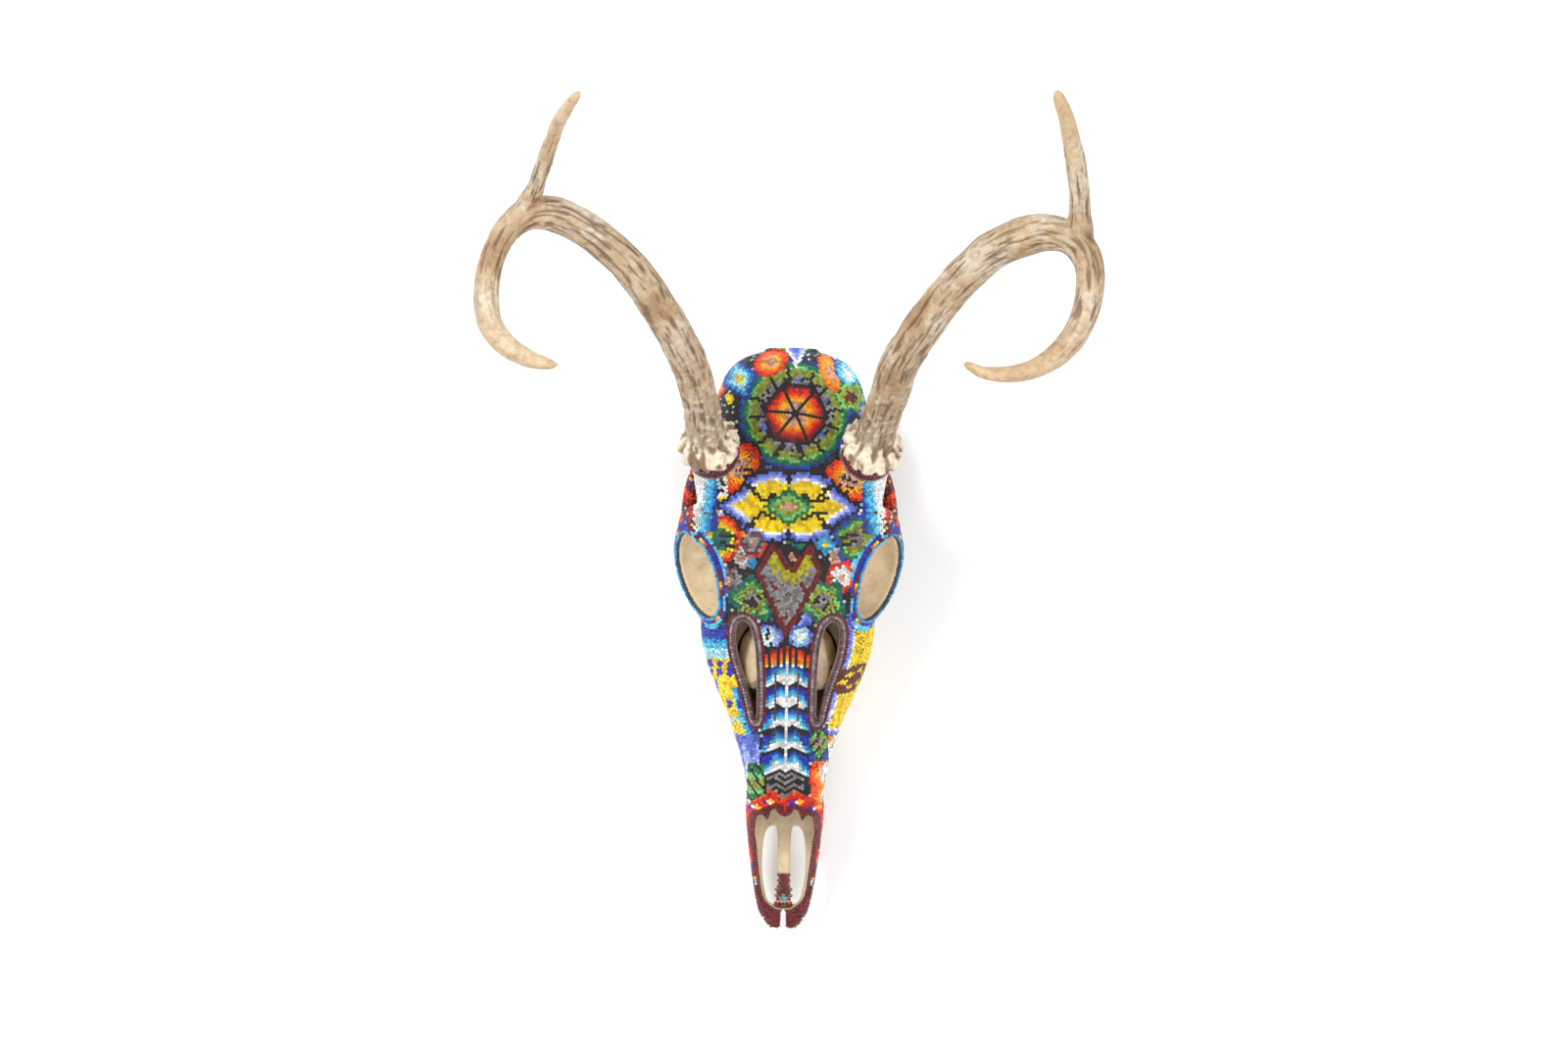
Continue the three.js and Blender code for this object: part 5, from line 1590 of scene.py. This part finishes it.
# Nose: dark red round the opening, red above, with small accents
nose = (panel_name == "coat_nose_tip") | (Y < 57)
put(nose, "dark_red")
crest = np.interp(X, [-20, -16, -11, -7.5, -0.5, 3.5, 10, 14.5, 20],
                  [60, 64.5, 67.5, 70.8, 66.2, 70, 69, 66, 62])
over = (Y > 40) & (Y < crest)
bands(over, to_opening, (3.6, "dark_red"), (7.6, "red"), (99, "orange_red"))
put(over & (crest - Y < 1.5) & SEEN, "orange_red")
side_red = (Y <= 40) & (Y > 30) & (to_opening > 2.6)
put(side_red, "red")
for cx, cy in ((-7.6, 64.8), (5.6, 64.4), (14.6, 61.2), (-14.9, 61.4)):
    a, b = turned(cx, cy, 12)
    dash = SEEN & (np.abs(b) < 0.95)
    bands(dash & (np.abs(a) < 3.2), a, (-1.2, "royal"), (0.6, "white"), (3.2, "amber"))
for side in (1, -1):
    for cy in (45.5, 33, 22.5):
        dash = (X * side > 8) & (np.abs(Y - cy) < 3.0) & (np.abs(Z - 22 - cy * 0.16) < 1.0)
        bands(dash, Y - cy, (-1, "royal"), (0.8, "pale_blue"), (3.2, "amber"))
put((kind == BAR_ROW) & (oval(-0.2, 14.0, 1.5, 2.4) < 1), "light_blue")

# Rows round the eyes, the leaf openings and the antlers' feet
on_eye = kind == EYE_ROW
put(on_eye & (ring <= 1), "light_blue")
put(on_eye & (ring == 1), "turquoise")
dash = on_eye & (ring == 2)
cycle = step % 14
put(dash, "dark_red")
put(dash & (cycle >= 9), "royal")
put(dash & (cycle == 4), "yellow")
put(dash & (cycle == 5), "amber")
put(dash & (cycle == 6), "orange_red")
put(on_eye & (ring == 3), "royal")
put(on_eye & (ring == 4), "blue")
put(on_eye & (ring == 5), "light_blue")
around_eye = (panel_name == "coat_eye_rim") & ~on_eye
eye_a, eye_b, _ = eye_parts(np.stack([ACROSS_X, Y, Z], -1))
eye_reach = oval_distance(eye_a, eye_b, EYE_HALF_LENGTH, EYE_HALF_HEIGHT)
bands(around_eye & (eye_b > 0), eye_reach, (5.5, "royal"), (7.2, "blue"), (99, "turquoise"))
put(around_eye & (eye_b <= 0) & (eye_reach < 8), "light_blue")
on_leaf = kind == LEAF_ROW
put(on_leaf & (ring == 0), "mauve")
put(on_leaf & (ring == 1), "grey")
put(on_leaf & (ring == 2), "dark_red")
on_stalk = kind == STALK_ROW
put(on_stalk & (ring < 3), "dark_red")
put(on_stalk & (ring == 0), "mauve")
put(on_stalk & (ring == 3), "grey")

# Temples and arches
temple = (SEEN & (ACROSS_X > 34.4) & (ACROSS_X < 46) & (Y > 196) & (Y < 226) & (kind == 0)
          & (Z > 58))
bands(temple, ACROSS_X - 34.4 - 0.16 * (212 - Y), (1.6, "blue"), (3.3, "turquoise"),
      (5.6, "light_blue"), (7.2, "pale_blue"), (99, "white"))
arch = (panel_name == "coat_arch") | (SEEN & (ACROSS_X >= 46) & (Y > 196) & (Y < 236) & (kind == 0))
wave = (Y + 0.6 * Z) % 13
put(arch, "dark_red")
put(arch & (wave > 7.5), "red")
put(arch & (wave > 10.5), "orange_red")
put(arch & (np.abs(wave - 4) < 0.9) & (chance < 0.7), "royal")
put(arch & (np.abs(wave - 5.4) < 0.7) & (chance < 0.7), "amber")

# ------------------------------------------------------------------ shape of the beads


def glass(name, colour, tint):
    m = Nodes(name)
    shade = [min(max(v * (1 + 0.12 * tint) + 5 * tint, 0), 255) for v in colour]
    m.shader.inputs["Base Color"].default_value = linear(shade)
    m.shader.inputs["Roughness"].default_value = 0.2
    m.shader.inputs["IOR"].default_value = 1.52
    return m.material


TINTS = (-1.0, 0.0, 0.9)
GLASS = [glass(f"glass_{name}_{n}", colour, tint) for name, colour in PAINTS.items()
         for n, tint in enumerate(TINTS)]
BEAD_RADIUS, HOLE_RADIUS, HALF_HEIGHT = 0.82, 0.27, 0.52
AROUND, SECTION = ((9, 6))
turn = np.arange(AROUND) * 2 * math.pi / AROUND
cut = np.arange(SECTION) * 2 * math.pi / SECTION
waist, swell = (BEAD_RADIUS + HOLE_RADIUS) / 2, (BEAD_RADIUS - HOLE_RADIUS) / 2
radial = waist + swell * np.cos(cut)
lift = HALF_HEIGHT * np.sin(cut)
unit_bead = np.stack([np.outer(np.cos(turn), radial), np.outer(np.sin(turn), radial),
                      np.tile(lift, (AROUND, 1))], -1).reshape(-1, 3)
bead_faces = []
for i in range(AROUND):
    for j in range(SECTION):
        i2, j2 = (i + 1) % AROUND, (j + 1) % SECTION
        bead_faces.append((i * SECTION + j, i2 * SECTION + j, i2 * SECTION + j2, i * SECTION + j2))
bead_faces = np.array(bead_faces)
tint = rng.integers(0, len(TINTS), count)
spin = rng.uniform(0, 2 * math.pi, count)
size = rng.normal(1.0, 0.03, count)
tall = rng.normal(1.0, 0.07, count)
lean = rng.normal(0, 0.09, (count, 3))
offset = rng.normal(0, 0.05, count)


def bead_points(chosen):
    up = beads.up[chosen] + lean[chosen]
    up /= np.linalg.norm(up, axis=1)[:, None]
    one = np.cross(up, beads.along[chosen] + 0.001)
    one /= np.linalg.norm(one, axis=1)[:, None]
    two = np.cross(up, one)
    c, s = np.cos(spin[chosen])[:, None], np.sin(spin[chosen])[:, None]
    one, two = one * c + two * s, two * c - one * s
    local = unit_bead[None] * np.stack([size[chosen], size[chosen], tall[chosen]], -1)[:, None]
    middle = beads.at[chosen] + up * offset[chosen][:, None]
    return (middle[:, None] + local[..., :1] * one[:, None] + local[..., 1:2] * two[:, None]
            + local[..., 2:] * up[:, None]).reshape(-1, 3)


MOST_IN_PIECE = 1700


def lay_beads(label, node_name, chosen):
    """The beads of one panel, in pieces of at most MOST_IN_PIECE beads."""
    chosen = chosen[np.argsort(Y[chosen], kind="stable")]
    parts = int(math.ceil(len(chosen) / MOST_IN_PIECE))
    for number, part in enumerate(np.array_split(chosen, max(parts, 1))):
        looks = paint[part] * len(TINTS) + tint[part]
        used, index = np.unique(looks, return_inverse=True)
        corners = len(unit_bead)
        faces = (bead_faces[None] + np.arange(len(part))[:, None, None] * corners).reshape(-1, 4)
        new_piece(f"beads_{label}_{number + 1}", bead_points(part), faces,
                  [GLASS[i] for i in used], [node_name],
                  numbers=np.repeat(index, len(bead_faces)))


# Wax between the beads and the bone, shown where it lies outside the bone
wax_field = smooth_max(head_full - WAX_LIFT, 0.2 - holes_full, 0.6)
wax_field = np.maximum(wax_field, 0.2 - inner_full)
wax_points, wax_faces = surface_net(wax_field, start, STEP)
wax_points = onto(wax_field, wax_points, 0.0, 1)
middle = wax_points[wax_faces].mean(1)
lower = np.interp(middle[:, 1], *np.array(COAT_LOWER_EDGE).T)
mirror = np.stack([np.abs(middle[:, 0]), middle[:, 1], middle[:, 2]], -1) - BURR_FOOT
above_burr = (mirror @ BURR_AXIS > -0.4) & (np.linalg.norm(mirror, axis=1) < 24)
outside = (sample(head_full, middle) > -0.3) & (middle[:, 2] > lower) & ~above_burr
wax_faces, middle = wax_faces[outside], middle[outside]
wax_zone = which_zone(middle, COAT_ZONES)
wax_normals, _ = slope(wax_field, wax_points, 0.8)
for number, (name, paired, _, _) in enumerate(COAT_ZONES):
    for side, sign in (("right", 1), ("left", -1)):
        if not paired and sign < 0:
            continue
        label = f"{name}_{side}" if paired else name
        mine = (panel == number) & ((X * sign >= 0) if paired else True)
        wax_mine = (wax_zone == number) & ((middle[:, 0] * sign >= 0) if paired else True)
        used, faces = part_of(wax_faces, wax_mine)
        new_piece(f"wax_{label[5:]}", wax_points[used], faces, [WAX_LOOK], [label],
                  normals=wax_normals[used])
        lay_beads(label[5:], label, np.where(mine)[0])

# ------------------------------------------------------------------ floor

bpy.ops.mesh.primitive_plane_add(size=12, location=(0, 0, 0))
floor = bpy.context.object
floor.name = "floor"
paper = Nodes("pale_floor")
paper.shader.inputs["Base Color"].default_value = (0.9, 0.9, 0.9, 1)
paper.shader.inputs["Roughness"].default_value = 0.9
floor.data.materials.append(paper.material)
